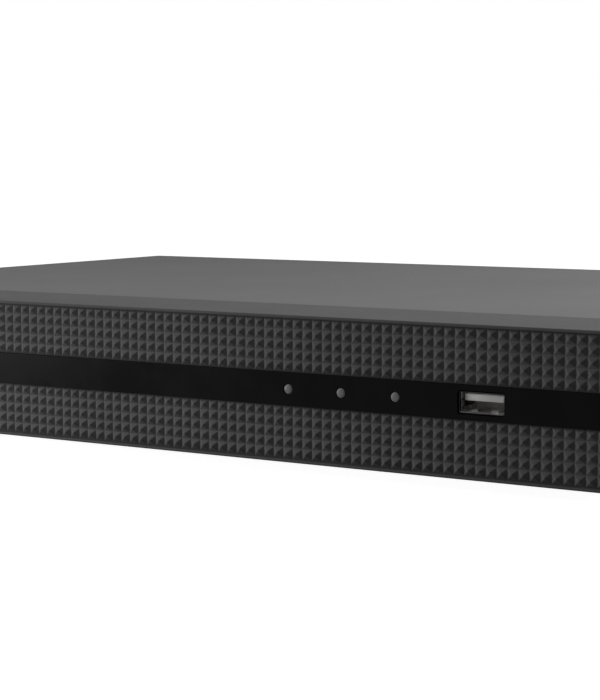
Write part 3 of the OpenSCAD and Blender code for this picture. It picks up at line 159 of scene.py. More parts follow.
class RecorderFinishes(bpy.types.PropertyGroup):
    """Base colours of the finishes."""

    bezel: colour("Bezel", "Satin plastic of the front bezel", 0.064, 0.064, 0.0645)
    texture: colour("Front texture", "Plastic of the two studded panels", 0.06, 0.06, 0.0605)
    band: colour("Band", "Polished band across the front", 0.002, 0.002, 0.0021)
    cover: colour("Cover", "Powder coat of the top cover", 0.115, 0.115, 0.1155)
    tray: colour("Tray", "Galvanised sheet of the base tray", 0.33, 0.335, 0.34)
    pipe: colour("Light pipes", "Frosted indicator light pipes", 0.13, 0.132, 0.135)
    board: colour("Board", "Solder mask of the main and front boards", 0.012, 0.095, 0.035)
    disk_board: colour("Disk board", "Solder mask of the disk's board", 0.008, 0.04, 0.12)
    black: colour("Black plastic", "Moulded sockets, housings and fan", 0.016, 0.016, 0.017)
    white: colour("White plastic", "Moulded tongues and insulators", 0.36, 0.36, 0.35)
    red: colour("Red plastic", "Audio socket insert and cable jackets", 0.42, 0.02, 0.018)
    blue: colour("Blue plastic", "Monitor socket insert", 0.015, 0.05, 0.32)
    green: colour("Green plastic", "Terminal block", 0.02, 0.22, 0.05)
    rubber: colour("Rubber", "Feet", 0.018, 0.018, 0.018)
    cover_roughness: share("Cover roughness", "Roughness of the powder coat", 0.62)
    bezel_roughness: share("Bezel roughness", "Roughness of the satin plastic", 0.62)
    band_roughness: share("Band roughness", "Roughness of the polished band", 0.3)


class RecorderStudio(bpy.types.PropertyGroup):
    """Camera, lamps and floor."""

    camera_at: FloatVectorProperty(
        name="Camera", description="Place of the camera", default=(0.32663, -0.55589, 0.08702),
        size=3, subtype="TRANSLATION", unit="LENGTH",
    )
    yaw: angle("Yaw", "Turn of the camera to the left of straight ahead", 31.214)
    pitch: angle("Pitch", "Tilt of the camera below the horizon", 5.854)
    lens: FloatProperty(
        name="Lens", description="Focal length on a 36 mm sensor", default=94.73, min=20.0,
        max=200.0, unit="CAMERA",
    )
    key_power: power("Key lamp", "Power of the soft lamp at the upper left", 2.2)
    side_power: power("Side lamp", "Power of the low lamp before the left end", 1.6)
    top_power: power("Top lamp", "Power of the soft lamp above the right end", 5.2)
    rear_power: power("Rear lamp", "Power of the low lamp behind the rear wall", 1.0)
    ambient: share("Ambient", "Even light from all round", 0.08)
    floor_tone: share("Floor bounce", "How much light the floor gives back", 0.1)
    floor_white: share("Floor white", "Glow of the floor, which shadows leave alone", 0.93)


# Node trees

def new_finish(slot):
    """A new material for a record slot, with its node tree and its shader."""
    material = bpy.data.materials.new(slot + "_finish")
    material.use_nodes = True
    tree = material.node_tree
    shader = next(node for node in tree.nodes if node.type == "BSDF_PRINCIPLED")
    return material, tree, shader


def spot(tree, stretch=(1.0, 1.0, 1.0)):
    """Coordinates fixed to the piece, in metres, scaled along its axes."""
    coords = tree.nodes.new("ShaderNodeTexCoord")
    scale = tree.nodes.new("ShaderNodeMapping")
    scale.inputs["Scale"].default_value = stretch
    tree.links.new(coords.outputs["Object"], scale.inputs["Vector"])
    return scale.outputs["Vector"]


def speckle(tree, size, detail=2.0, stretch=(1.0, 1.0, 1.0)):
    """Noise with grains about size metres across."""
    node = tree.nodes.new("ShaderNodeTexNoise")
    node.inputs["Scale"].default_value = 1.0 / size
    node.inputs["Detail"].default_value = detail
    tree.links.new(spot(tree, stretch), node.inputs["Vector"])
    return node.outputs["Fac"]


def spangle(tree, size):
    """Crystal patches about size metres across, each with its own grey."""
    node = tree.nodes.new("ShaderNodeTexVoronoi")
    node.inputs["Scale"].default_value = 1.0 / size
    tree.links.new(spot(tree), node.inputs["Vector"])
    grey = tree.nodes.new("ShaderNodeRGBToBW")
    tree.links.new(node.outputs["Color"], grey.inputs["Color"])
    return grey.outputs["Val"]


def stripes(tree, pitch, axis):
    """Bands that repeat every pitch metres along an axis."""
    period_at_scale_1 = 0.314
    node = tree.nodes.new("ShaderNodeTexWave")
    node.wave_type = "BANDS"
    node.bands_direction = axis
    node.inputs["Scale"].default_value = period_at_scale_1 / pitch
    tree.links.new(spot(tree), node.inputs["Vector"])
    return node.outputs["Fac"]


def between(tree, source, low, high, start=0.3, end=0.7):
    """The source from start to end, as a number from low to high."""
    node = tree.nodes.new("ShaderNodeMapRange")
    node.inputs["From Min"].default_value = start
    node.inputs["From Max"].default_value = end
    node.inputs["To Min"].default_value = low
    node.inputs["To Max"].default_value = high
    tree.links.new(source, node.inputs["Value"])
    return node.outputs["Result"]


def joined(tree, first, second, how):
    """Two numbers put together by a Math node."""
    node = tree.nodes.new("ShaderNodeMath")
    node.operation = how
    tree.links.new(first, node.inputs[0])
    tree.links.new(second, node.inputs[1])
    return node.outputs["Value"]


def scaled(base, factor):
    """A colour made lighter or darker."""
    return tuple(min(1.0, channel * factor) for channel in base)


def tint(tree, shader, source, base, low, high, start=0.3, end=0.7):
    """Colours a surface from low to high times its base, as the source goes from start to end."""
    node = tree.nodes.new("ShaderNodeValToRGB")
    first, last = node.color_ramp.elements
    first.position, last.position = start, end
    first.color, last.color = (*scaled(base, low), 1.0), (*scaled(base, high), 1.0)
    tree.links.new(source, node.inputs["Fac"])
    tree.links.new(node.outputs["Color"], shader.inputs["Base Color"])


def roughen(tree, shader, source, low, high, start=0.3, end=0.7):
    """Roughens a surface from low to high, as the source goes from start to end."""
    tree.links.new(between(tree, source, low, high, start, end), shader.inputs["Roughness"])


def relief(tree, shader, source, depth):
    """Raises a surface by depth millimetres where the source is 1."""
    node = tree.nodes.new("ShaderNodeBump")
    node.inputs["Distance"].default_value = depth * MM
    tree.links.new(source, node.inputs["Height"])
    tree.links.new(node.outputs["Normal"], shader.inputs["Normal"])


# Finishes

def moulded(slot, base, roughness=0.5, grain=0.3, depth=0.02, specular=0.4, mottle=0.1):
    """Moulded plastic or rubber: spark-eroded grain and a faint cloudiness."""
    swing = 0.06
    material, tree, shader = new_finish(slot)
    cloud = speckle(tree, 22 * MM, 3.0)
    pits = speckle(tree, grain * MM)
    tint(tree, shader, cloud, base, 1 - mottle, 1 + mottle)
    roughen(tree, shader, pits, roughness - swing, roughness + swing)
    relief(tree, shader, pits, depth)
    shader.inputs["Specular IOR Level"].default_value = specular
    return material


def powder_coat(slot, base, roughness, specular):
    """Fine powder coat on sheet steel: orange peel, a finer sparkle and slight clouding."""
    swing = 0.05
    material, tree, shader = new_finish(slot)
    cloud = speckle(tree, 60 * MM, 3.0)
    peel = speckle(tree, 0.9 * MM)
    fine = speckle(tree, 0.22 * MM, 1.0)
    tint(tree, shader, cloud, base, 0.95, 1.05)
    roughen(tree, shader, fine, roughness - swing, roughness + swing)
    relief(tree, shader, joined(tree, peel, fine, "ADD"), 0.012)
    shader.inputs["Specular IOR Level"].default_value = specular
    return material


def polished(slot, base, roughness, specular):
    """Polished plastic with a handling haze and a slight waviness."""
    material, tree, shader = new_finish(slot)
    haze = speckle(tree, 12 * MM, 4.0)
    waves = speckle(tree, 6 * MM, 1.0)
    tint(tree, shader, haze, base, 0.85, 1.15)
    roughen(tree, shader, haze, roughness * 0.8, roughness * 1.4)
    relief(tree, shader, waves, 0.004)
    shader.inputs["Specular IOR Level"].default_value = specular
    return material


def plated(slot, base, roughness, size=0.5, stretch=(1.0, 1.0, 1.0), depth=0.002):
    """Bare or plated metal: grain or brush lines in its tone, roughness and relief."""
    material, tree, shader = new_finish(slot)
    grain = speckle(tree, size * MM, 3.0, stretch)
    tint(tree, shader, grain, base, 0.94, 1.06)
    roughen(tree, shader, grain, roughness * 0.75, roughness * 1.25)
    relief(tree, shader, grain, depth)
    shader.inputs["Metallic"].default_value = 1.0
    return material


def galvanised(slot, base):
    """Galvanised sheet: zinc spangle with fine rolling marks."""
    material, tree, shader = new_finish(slot)
    patch = spangle(tree, 5 * MM)
    roll = speckle(tree, 0.4 * MM, stretch=(0.05, 1.0, 1.0))
    tone = joined(tree, patch, between(tree, roll, -0.08, 0.08), "ADD")
    tint(tree, shader, tone, base, 0.9, 1.08, 0.15, 0.85)
    roughen(tree, shader, tone, 0.34, 0.48, 0.15, 0.85)
    relief(tree, shader, roll, 0.003)
    shader.inputs["Metallic"].default_value = 1.0
    return material


def solder_mask(slot, base):
    """A circuit board: copper runs under glossy solder mask."""
    material, tree, shader = new_finish(slot)
    field = speckle(tree, 14 * MM, 1.0)
    along = between(tree, stripes(tree, 1.1 * MM, "X"), 0.0, 1.0, 0.62, 0.7)
    across = between(tree, stripes(tree, 1.3 * MM, "Y"), 0.0, 1.0, 0.62, 0.7)
    runs = joined(
        tree,
        joined(tree, along, between(tree, field, 0.0, 1.0, 0.52, 0.54), "MULTIPLY"),
        joined(tree, across, between(tree, field, 1.0, 0.0, 0.46, 0.48), "MULTIPLY"),
        "ADD",
    )
    tint(tree, shader, runs, base, 1.0, 2.0, 0.1, 0.9)
    roughen(tree, shader, speckle(tree, 3 * MM), 0.2, 0.32)
    relief(tree, shader, runs, 0.03)
    return material


def frosted(slot, base):
    """Frosted clear plastic that passes some light."""
    material, tree, shader = new_finish(slot)
    milk = speckle(tree, 0.6 * MM)
    tint(tree, shader, milk, base, 0.9, 1.1)
    roughen(tree, shader, milk, 0.3, 0.42)
    relief(tree, shader, milk, 0.006)
    shader.inputs["Subsurface Weight"].default_value = 0.3
    shader.inputs["Subsurface Radius"].default_value = (1 * MM, 1 * MM, 1 * MM)
    shader.inputs["Subsurface Scale"].default_value = 0.5
    shader.inputs["Specular IOR Level"].default_value = 0.1
    return material


def mirror_disk(slot, base):
    """A polished platter with a very fine grain."""
    material, tree, shader = new_finish(slot)
    fine = speckle(tree, 0.8 * MM)
    tint(tree, shader, fine, base, 0.97, 1.03)
    roughen(tree, shader, fine, 0.03, 0.07)
    relief(tree, shader, fine, 0.0002)
    shader.inputs["Metallic"].default_value = 1.0
    return material


def make_finish(slot):
    """The material of a record slot, or the painted highlight on a USB shell's floor."""
    tone = bpy.context.scene.recorder_finishes
    bezel = {"grain": 0.35, "depth": 0.03, "specular": 0.03, "mottle": 0.06}
    studs = {"grain": 0.3, "depth": 0.015, "specular": 0.06, "mottle": 0.06}
    socket = {"grain": 0.4, "depth": 0.01}
    jacket = {"grain": 0.8, "depth": 0.02}
    # Stretch of the grain into lines along the width or the depth, or into lathe marks
    wide, deep, extruded = (0.04, 1.0, 1.0), (1.0, 0.04, 1.0), (1.0, 0.03, 1.0)
    lathe = (1.0, 1.0, 6.0)
    makers = {
        "bezel_plastic": lambda: moulded(slot, tone.bezel, tone.bezel_roughness, **bezel),
        "textured_plastic": lambda: moulded(slot, tone.texture, 0.6, **studs),
        "gloss_band": lambda: polished(slot, tone.band, tone.band_roughness, specular=0.025),
        "cover_paint": lambda: powder_coat(slot, tone.cover, tone.cover_roughness, specular=0.03),
        "tray_steel": lambda: galvanised(slot, tone.tray),
        "clear_pipe": lambda: frosted(slot, tone.pipe),
        "led_lens": lambda: frosted(slot, (0.5, 0.62, 0.46)),
        "circuit_board": lambda: solder_mask(slot, tone.board),
        "disk_board": lambda: solder_mask(slot, tone.disk_board),
        "platter_mirror": lambda: mirror_disk(slot, (0.84, 0.84, 0.85)),
        "white_plastic": lambda: moulded(slot, tone.white, 0.45, **socket, mottle=0.03),
        "red_plastic": lambda: moulded(slot, tone.red, 0.42, **socket),
        "blue_plastic": lambda: moulded(slot, tone.blue, 0.42, **socket),
        "green_plastic": lambda: moulded(slot, tone.green, 0.42, **socket),
        "black_plastic": lambda: moulded(slot, tone.black, 0.46),
        "rocker_plastic": lambda: moulded(slot, scaled(tone.black, 1.2), 0.38, 0.5, 0.008),
        "fan_plastic": lambda: moulded(slot, scaled(tone.black, 1.3), 0.42, 0.5, 0.01),
        "foot_rubber": lambda: moulded(slot, tone.rubber, 0.75, 0.5, 0.03, specular=0.3),
        "pad_rubber": lambda: moulded(slot, (0.2, 0.27, 0.36), 0.7, 0.4, specular=0.3),
        "chip_resin": lambda: moulded(slot, (0.02, 0.02, 0.021), 0.55, 0.2, 0.012, specular=0.35),
        "can_sleeve": lambda: moulded(slot, (0.02, 0.03, 0.055), 0.28, 0.9, 0.004),
        "ferrite": lambda: moulded(slot, (0.06, 0.06, 0.064), 0.6, 0.25, 0.03),
        "flat_cable": lambda: moulded(slot, (0.62, 0.62, 0.58), 0.36, **jacket),
        "red_cable": lambda: moulded(slot, scaled(tone.red, 0.8), 0.4, **jacket),
        "screw_steel": lambda: plated(slot, (0.6, 0.6, 0.61), 0.3, 0.3),
        "black_screw": lambda: plated(slot, (0.05, 0.05, 0.052), 0.36, 0.3),
        "plated_shell": lambda: plated(slot, (0.5, 0.5, 0.51), 0.26, 0.4, wide),
        # Near-black plating, which on the USB shells also stands as painted shade on the rim, lip and
        # side fingers
        "dark_shell": lambda: plated(slot, (0.014, 0.014, 0.0145), 0.4, 0.4, wide),
        # A brighter plating, painted as a highlight on the floor and floor fingers of the USB shells
        "rubbed_shell": lambda: plated(slot, (0.58, 0.58, 0.59), 0.4, 0.4, deep),
        "nickel": lambda: plated(slot, (0.55, 0.54, 0.52), 0.2, 0.6),
        "standoff_brass": lambda: plated(slot, (0.62, 0.45, 0.15), 0.28, 0.3, lathe),
        "sink_aluminium": lambda: plated(slot, (0.6, 0.61, 0.62), 0.38, 0.35, extruded),
        "cast_aluminium": lambda: plated(slot, (0.5, 0.51, 0.52), 0.48, depth=0.02),
        "lid_steel": lambda: plated(slot, (0.6, 0.61, 0.62), 0.3, 0.35, wide),
    }
    return makers[slot]()


def finish(slot):
    """The material of a slot, made the first time that it is asked for."""
    return bpy.data.materials.get(slot + "_finish") or make_finish(slot)


def dress(node):
    """Gives a CAD node the finish of its slot."""
    piece = frame["nodes"][node]
    if not piece.material_slots:
        piece.data.materials.append(None)
    for holder in piece.material_slots:
        holder.material = finish(SLOT_OF[node])


# Mesh work

def add_piece(name, bm, slots, body, *replaced, smooth=32.0):
    """A piece made of a bmesh, on a body, in place of CAD nodes, shaded round below smooth degrees."""
    mesh = bpy.data.meshes.new(name)
    bmesh.ops.recalc_face_normals(bm, faces=bm.faces[:])
    bm.to_mesh(mesh)
    bm.free()
    for slot in slots:
        mesh.materials.append(finish(slot))
    mesh.shade_smooth()
    mesh.set_sharp_from_angle(angle=math.radians(smooth))
    piece = bpy.data.objects.new(name, mesh)
    bpy.context.scene.collection.objects.link(piece)
    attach(piece, body)
    if replaced:
        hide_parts(*replaced)
    return piece


def paint(faces, index):
    """Gives faces one of the piece's materials."""
    for face in faces:
        face.material_index = index


def add_block(bm, low, high, ease=0.0, index=0, matrix=None):
    """A box between two corners, with its edges eased where an easing is given."""
    low, high = Vector(low), Vector(high)
    place = Matrix.Translation((low + high) / 2) @ Matrix.Diagonal((*(high - low), 1.0))
    corners = bmesh.ops.create_cube(bm, size=1.0, matrix=(matrix or Matrix()) @ place)["verts"]
    paint({face for corner in corners for face in corner.link_faces}, index)
    if ease > 0.0:
        edges = {edge for corner in corners for edge in corner.link_edges}
        bmesh.ops.bevel(
            bm, geom=list(edges), offset=ease, segments=2, profile=0.5, affect="EDGES",
            material=-1,
        )


def ring(bm, matrix, radius, height, steps):
    """A circle of points about the Z axis of a matrix."""
    turns = [2 * math.pi * i / steps for i in range(steps)]
    return [
        bm.verts.new(matrix @ Vector((radius * math.cos(turn), radius * math.sin(turn), height)))
        for turn in turns
    ]


def rings(bm, matrix, profile, steps):
    """A circle of points for each (radius, height) of a profile."""
    return [ring(bm, matrix, radius, height, steps) for radius, height in profile]


def skin(bm, first, second):
    """Faces between two loops of as many points."""
    count = len(first)
    for i in range(count):
        j = (i + 1) % count
        bm.faces.new((first[i], first[j], second[j], second[i]))


def skin_all(bm, loops, around=False):
    """Faces between each loop and the next, and from the last to the first where it goes around."""
    followers = loops[1:] + loops[:1] if around else loops[1:]
    for first, second in zip(loops, followers):
        skin(bm, first, second)


def turned(bm, matrix, profile, steps=40):
    """A turned form from (radius, height) points, closed at both ends."""
    loops = rings(bm, matrix, profile, steps)
    skin_all(bm, loops)
    bm.faces.new(loops[0])
    bm.faces.new(loops[-1])


def add_strip(bm, matrix, path, wide, thick):
    """A bent strip of sheet along (y, z) points, with its thickness to the left of its way."""
    points = [Vector(point) for point in path]
    rows = []
    for before, point, after in zip(points[:1] + points, points, points[1:] + points[-1:]):
        along = (after - before).normalized()
        back = point + Vector((-along.y, along.x)) * thick
        corners = ((-wide / 2, point), (wide / 2, point), (wide / 2, back), (-wide / 2, back))
        rows.append([bm.verts.new(matrix @ Vector((x, *at))) for x, at in corners])
    skin_all(bm, rows)
    bm.faces.new(rows[0])
    bm.faces.new(rows[-1])


def rounded_loop(width, height, radius, steps=5):
    """Points of a rectangle with round corners, about its middle."""
    points = []
    for quarter, (sx, sz) in enumerate(((1, 1), (-1, 1), (-1, -1), (1, -1))):
        for i in range(steps + 1):
            turn = QUARTER * (quarter + i / steps)
            points.append((
                sx * (width / 2 - radius) + radius * math.cos(turn),
                sz * (height / 2 - radius) + radius * math.sin(turn),
            ))
    return points


def extents(points):
    """Lowest and highest corner of some points."""
    return (
        Vector([min(point[axis] for point in points) for axis in range(3)]),
        Vector([max(point[axis] for point in points) for axis in range(3)]),
    )


def islands(node):
    """The separate solids of a CAD node, each as a list of its points."""
    mesh = frame["nodes"][node].data
    micrometre = 6
    spots = {}
    number = [
        spots.setdefault(tuple(round(c, micrometre) for c in vertex.co), len(spots))
        for vertex in mesh.vertices
    ]
    leader = list(range(len(spots)))

    def lead(i):
        """The number that stands for the whole solid of point i."""
        while leader[i] != i:
            leader[i] = leader[leader[i]]
            i = leader[i]
        return i

    for face in mesh.polygons:
        for corner in face.vertices:
            leader[lead(number[corner])] = lead(number[face.vertices[0]])
    groups = {}
    for point, i in spots.items():
        groups.setdefault(lead(i), []).append(Vector(point))
    return sorted(groups.values(), key=lambda points: tuple(extents(points)[0]))


def add_eased(node, width, body="case"):
    """A CAD solid with its sharp edges eased, in place of its node."""
    bm = bmesh.new()
    bm.from_mesh(frame["nodes"][node].data)
    bmesh.ops.remove_doubles(bm, verts=bm.verts[:], dist=WELD)
    bmesh.ops.dissolve_limit(
        bm, angle_limit=FLAT, verts=bm.verts[:], edges=bm.edges[:], delimit={"NORMAL"}
    )
    sharp = [edge for edge in bm.edges if edge.is_manifold and edge.calc_face_angle() > TURN]
    bmesh.ops.bevel(
        bm, geom=sharp, offset=width, segments=2, profile=0.5, affect="EDGES", clamp_overlap=False,
    )
    piece = add_piece(node + "_eased", bm, [SLOT_OF[node]], body, node)
    flats = piece.modifiers.new("flat_faces", "WEIGHTED_NORMAL")
    flats.keep_sharp = True


def ease_all(width, *nodes):
    """Eases the edges of several CAD solids of the case."""
    for node in nodes:
        add_eased(node, width)


# Screws

# A pan head from its flat to its seat, as shares of its radius and its height
PAN_HEAD = ((0.66, 1.0), (0.84, 0.93), (0.95, 0.74), (1.0, 0.45), (1.0, 0.0))

# The cross recess: reach and half width of an arm, as shares of the head's radius, how far its
# floor draws in, and the most of the head's height that it may take
CROSS_REACH, CROSS_HALF, CROSS_TAPER, CROSS_DEEPEST = 0.52, 0.15, 0.72, 0.8

# Radius at the root of the thread and at the screw's point, as shares of the shank's radius
THREAD_ROOT, POINT = 0.84, 0.6


def screw_facts(points):
    """A CAD screw's seat matrix, with Z out of the head, and its head and shank sizes."""
    rim_share, below = 0.9, 0.05 * MM
    low, high = extents(points)
    size = high - low
    axis = min(range(3), key=lambda a: abs(size[(a + 1) % 3] - size[(a + 2) % 3]))
    middle = (low + high) / 2
    rows = []
    for point in points:
        off = point - middle
        along = off[axis]
        off[axis] = 0.0
        rows.append((along, off.length))
    head_r = max(radius for _, radius in rows)
    rim = [along for along, radius in rows if radius > rim_share * head_r]
    way = 1.0 if sum(rim) > 0 else -1.0
    seat = min(along * way for along in rim)
    top = max(along * way for along in rim)
    foot = min(along * way for along, _ in rows)
    shank_r = max(radius for along, radius in rows if along * way < seat - below)
    out = Vector((0.0, 0.0, 0.0))
    out[axis] = way
    origin = middle + out * seat
    matrix = Matrix.Translation(origin) @ out.to_track_quat("Z", "Y").to_matrix().to_4x4()
    return matrix, head_r, top - seat, shank_r, seat - foot


def add_screw(bm, matrix, head_r, head_h, shank_r, reach):
    """A pan head screw: domed head, cross recess and ridged shank."""
    sizes = bpy.context.scene.recorder_hardware
    neck, run_out, point = 0.5 * MM, 0.6 * MM, 0.4 * MM
    profile = [(head_r * wide, head_h * tall) for wide, tall in PAN_HEAD] + [(shank_r, 0.0)]
    drop = neck
    while drop + sizes.thread < reach - run_out:
        profile.append((shank_r * THREAD_ROOT, -drop))
        profile.append((shank_r, -drop - sizes.thread / 2))
        drop += sizes.thread
    profile += [(shank_r * THREAD_ROOT, -reach + point), (shank_r * POINT, -reach)]
    loops = rings(bm, matrix, profile, steps=36)
    skin_all(bm, loops)
    bm.faces.new(loops[-1])
    arm, half = head_r * CROSS_REACH, head_r * CROSS_HALF
    depth = min(sizes.recess, head_h * CROSS_DEEPEST)
    outline = [
        (arm, -half), (arm, half), (half, half), (half, arm), (-half, arm), (-half, half),
        (-arm, half), (-arm, -half), (-half, -half), (-half, -arm), (half, -arm), (half, -half),
    ]
    mouth, floor = [
        [bm.verts.new(matrix @ Vector((x * taper, y * taper, height))) for x, y in outline]
        for taper, height in ((1.0, head_h), (CROSS_TAPER, head_h - depth))
    ]
    skin(bm, mouth, floor)
    bm.faces.new(floor)
    edges = []
    for loop in (loops[0], mouth):
        for i, corner in enumerate(loop):
            after = loop[(i + 1) % len(loop)]
            edges.append(bm.edges.get((corner, after)) or bm.edges.new((corner, after)))
    bmesh.ops.triangle_fill(bm, edges=edges, use_beauty=True, use_dissolve=False)


def add_screws(node, name):
    """One set of screws in place of a CAD node."""
    bm = bmesh.new()
    for points in islands(node):
        add_screw(bm, *screw_facts(points))
    add_piece(name, bm, [SLOT_OF[node]], "case", node)


# Front

def add_stud_panel(name, node):
    """A front panel whose face is a grid of small eased pyramids."""
    sizes = bpy.context.scene.recorder_studs
    low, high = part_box(node)
    columns = round((high.x - low.x) / sizes.pitch_x)
    rows = round((high.z - low.z) / sizes.pitch_z)
    step_x = (high.x - low.x) / columns
    step_z = (high.z - low.z) / rows
    tip = sizes.tip / 2
    signs = ((-1, -1), (1, -1), (1, 1), (-1, 1))
    bm = bmesh.new()
    grid = [
        [
            bm.verts.new((low.x + i * step_x, low.y + sizes.height, low.z + j * step_z))
            for i in range(columns + 1)
        ]
        for j in range(rows + 1)
    ]
    for j in range(rows):
        for i in range(columns):
            base = (grid[j][i], grid[j][i + 1], grid[j + 1][i + 1], grid[j + 1][i])
            x, z = low.x + (i + 0.5) * step_x, low.z + (j + 0.5) * step_z
            top = [bm.verts.new((x + sx * tip, low.y, z + sz * tip)) for sx, sz in signs]
            skin(bm, base, top)
            bm.faces.new(top)
    inner = [edge for edge in bm.edges if not edge.is_boundary]
    bmesh.ops.bevel(
        bm, geom=inner, offset=sizes.easing, segments=2, profile=0.5, affect="EDGES",
        clamp_overlap=True,
    )
    rim = [edge for edge in bm.edges if edge.is_boundary]
    back = bmesh.ops.extrude_edge_only(bm, edges=rim)["geom"]
    for vertex in back:
        if isinstance(vertex, bmesh.types.BMVert):
            vertex.co.y = high.y
    bmesh.ops.holes_fill(bm, edges=[edge for edge in bm.edges if edge.is_boundary], sides=0)
    add_piece(name, bm, ["textured_plastic"], "case", node, smooth=50.0)


def add_light_pipes():
    """Three frosted pipes with domed tips on their bar."""
    sizes = bpy.context.scene.recorder_hardware
    low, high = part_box("light_pipe")
    bar_y = high.y - sizes.pipe_bar
    radius, dome = sizes.pipe_d / 2, sizes.pipe_dome
    ease, overlap = 0.15 * MM, 0.4 * MM
    arc = [math.radians(degrees) for degrees in (75, 60, 45, 30, 15)]
    profile = [(radius * math.cos(a), dome * (1 - math.sin(a))) for a in arc]
    profile += [(radius, dome), (radius, bar_y - low.y + overlap)]
    bm = bmesh.new()
    add_block(bm, (low.x, bar_y, low.z), high, ease)
    for points in islands("indicator_leds"):
        corner, other = extents(points)
        tip = Vector(((corner.x + other.x) / 2, low.y, (low.z + high.z) / 2))
        place = Matrix.Translation(tip) @ Matrix.Rotation(-QUARTER, 4, "X")
        turned(bm, place, profile, steps=32)
    add_piece("light_pipes", bm, ["clear_pipe"], "case", "light_pipe")


# USB sockets

# Way of a spring finger: millimetres behind the mouth, and shares of its rise
FINGER = ((1.6, -0.3), (2.2, 0.75), (3.0, 1.0), (4.0, 0.85), (6.0, 0.45), (8.5, 0.0))


def usb_place(node, way):
    """A frame at the middle of a USB shell's mouth, with Y into the socket, and the shell's size."""
    low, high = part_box(node)
    mouth = Vector(((low.x + high.x) / 2, low.y if way > 0 else high.y, (low.z + high.z) / 2))
    turn = Matrix() if way > 0 else Matrix.Rotation(math.pi, 4, "Z")
    return Matrix.Translation(mouth) @ turn, high - low


def add_finger(bm, matrix):
    """A spring finger that rises along +Z from a shell's wall, with its tip turned down into it."""
    sizes = bpy.context.scene.recorder_hardware
    thick = 0.15 * MM
    path = [(y * MM, up * sizes.finger_rise) for y, up in FINGER]
    add_strip(bm, matrix, path, sizes.finger_w, thick)


def add_usb_shell(name, node, way):
    """A drawn USB shell, eased mouth, spring fingers; painted highlight on its floor, painted shade on
    rim, lip, side fingers.
    """
    matrix, (width, depth, height) = usb_place(node, way)
    wall = bpy.context.scene.recorder_hardware.shell_wall
    ease = wall / 3
    corner, lip = 0.6 * MM, 0.5 * MM
    spread, side_drop = width * 0.22, 0.3 * MM
    plain_index, highlight_index = 1, 2
    bm = bmesh.new()

    def loop(inset, y):
        """The shell's outline at a depth, drawn in all round by an inset."""
        outline = rounded_loop(width - 2 * inset, height - 2 * inset, corner - inset)
        return [bm.verts.new(matrix @ Vector((x, y, z))) for x, z in outline]

    loops = [
        loop(0.0, depth), loop(0.0, ease), loop(ease / 2, 0.0), loop(wall / 2, 0.0),
        loop(wall, lip), loop(wall, depth - wall),
    ]
    skin_all(bm, loops)
    bm.faces.new(loops[0])
    bm.faces.new(loops[-1])
    floor, side = wall - height / 2, width / 2 - wall
    inside = {*loops[-2], *loops[-1]}
    # Painted highlight: the floor and the low part of the lip take a brighter plating; the rest of the
    # lip and the rim keep the near-black outer finish as painted shade
    for face in bm.faces:
        level = (matrix.inverted() @ face.calc_center_median()).z
        if level < floor + wall / 2 and inside.union(loops[-3]).issuperset(face.verts):
            face.material_index = highlight_index
        elif inside.issuperset(face.verts):
            face.material_index = plain_index
    shell = set(bm.faces)
    # The floor fingers take the same painted highlight
    for x in (-spread, spread):
        add_finger(bm, matrix @ Matrix.Translation((x, 0.0, floor)))
    paint(set(bm.faces) - shell, highlight_index)
    # The side fingers keep the near-black outer finish as painted shade
    for sign in (-1, 1):
        turn = Matrix.Rotation(sign * QUARTER, 4, "Y")
        add_finger(bm, matrix @ Matrix.Translation((-sign * side, 0.0, -side_drop)) @ turn)
    add_piece(name, bm, [SLOT_OF[node], "plated_shell", "rubbed_shell"], "case", node)


def add_usb_tongue(name, shell, node, way):
    """A USB tongue with a chamfered nose and four plated contacts, on its root block."""
    matrix, size = usb_place(shell, way)
    inside = matrix.inverted()
    low, high = extents([inside @ point for point in islands(node)[0]])
    half, sheet, nose, gap_above = 5.55 * MM, 1.84 * MM, 0.35 * MM, 0.7 * MM
    root_depth, root_ease = 3.7 * MM, 0.1 * MM
    contact_half, setback, ease = 0.5 * MM, 1.4 * MM, 0.06 * MM
    proud, sunk = 0.1 * MM, 0.05 * MM
    root = high.y - root_depth
    top = size.z / 2 - gap_above
    under = top - sheet
    bm = bmesh.new()
    add_block(bm, (-half, low.y, under), (half, root, top), nose, 0, matrix)
    add_block(bm, (low.x, root, low.z), high, root_ease, 0, matrix)
    for x in (-3.5 * MM, -1.0 * MM, 1.0 * MM, 3.5 * MM):
        add_block(
            bm, (x - contact_half, low.y + setback, under - proud),
            (x + contact_half, root, under + sunk), ease, 1, matrix,
        )
    add_piece(name, bm, ["white_plastic", "standoff_brass"], "case", node)


# Rear

def add_video_contacts():
    """Plated centre contacts in the insulators of the video jacks."""
    outer, inner, reach = 0.78 * MM, 0.45 * MM, 4.0 * MM
    set_in, chamfer, chamfer_h = 0.1 * MM, 0.1 * MM, 0.15 * MM
    profile = (
        (outer, reach), (outer, chamfer_h), (outer - chamfer, 0.0), (inner + chamfer, 0.0),
        (inner, chamfer_h), (inner, reach),
    )
    bm = bmesh.new()
    for points in islands("bnc_cores"):
        low, high = extents(points)
        mouth = Vector(((low.x + high.x) / 2, high.y - set_in, (low.z + high.z) / 2))
        place = Matrix.Translation(mouth) @ Matrix.Rotation(QUARTER, 4, "X")
        skin_all(bm, rings(bm, place, profile, steps=24), around=True)
    add_piece("video_contacts", bm, ["standoff_brass"], "case")


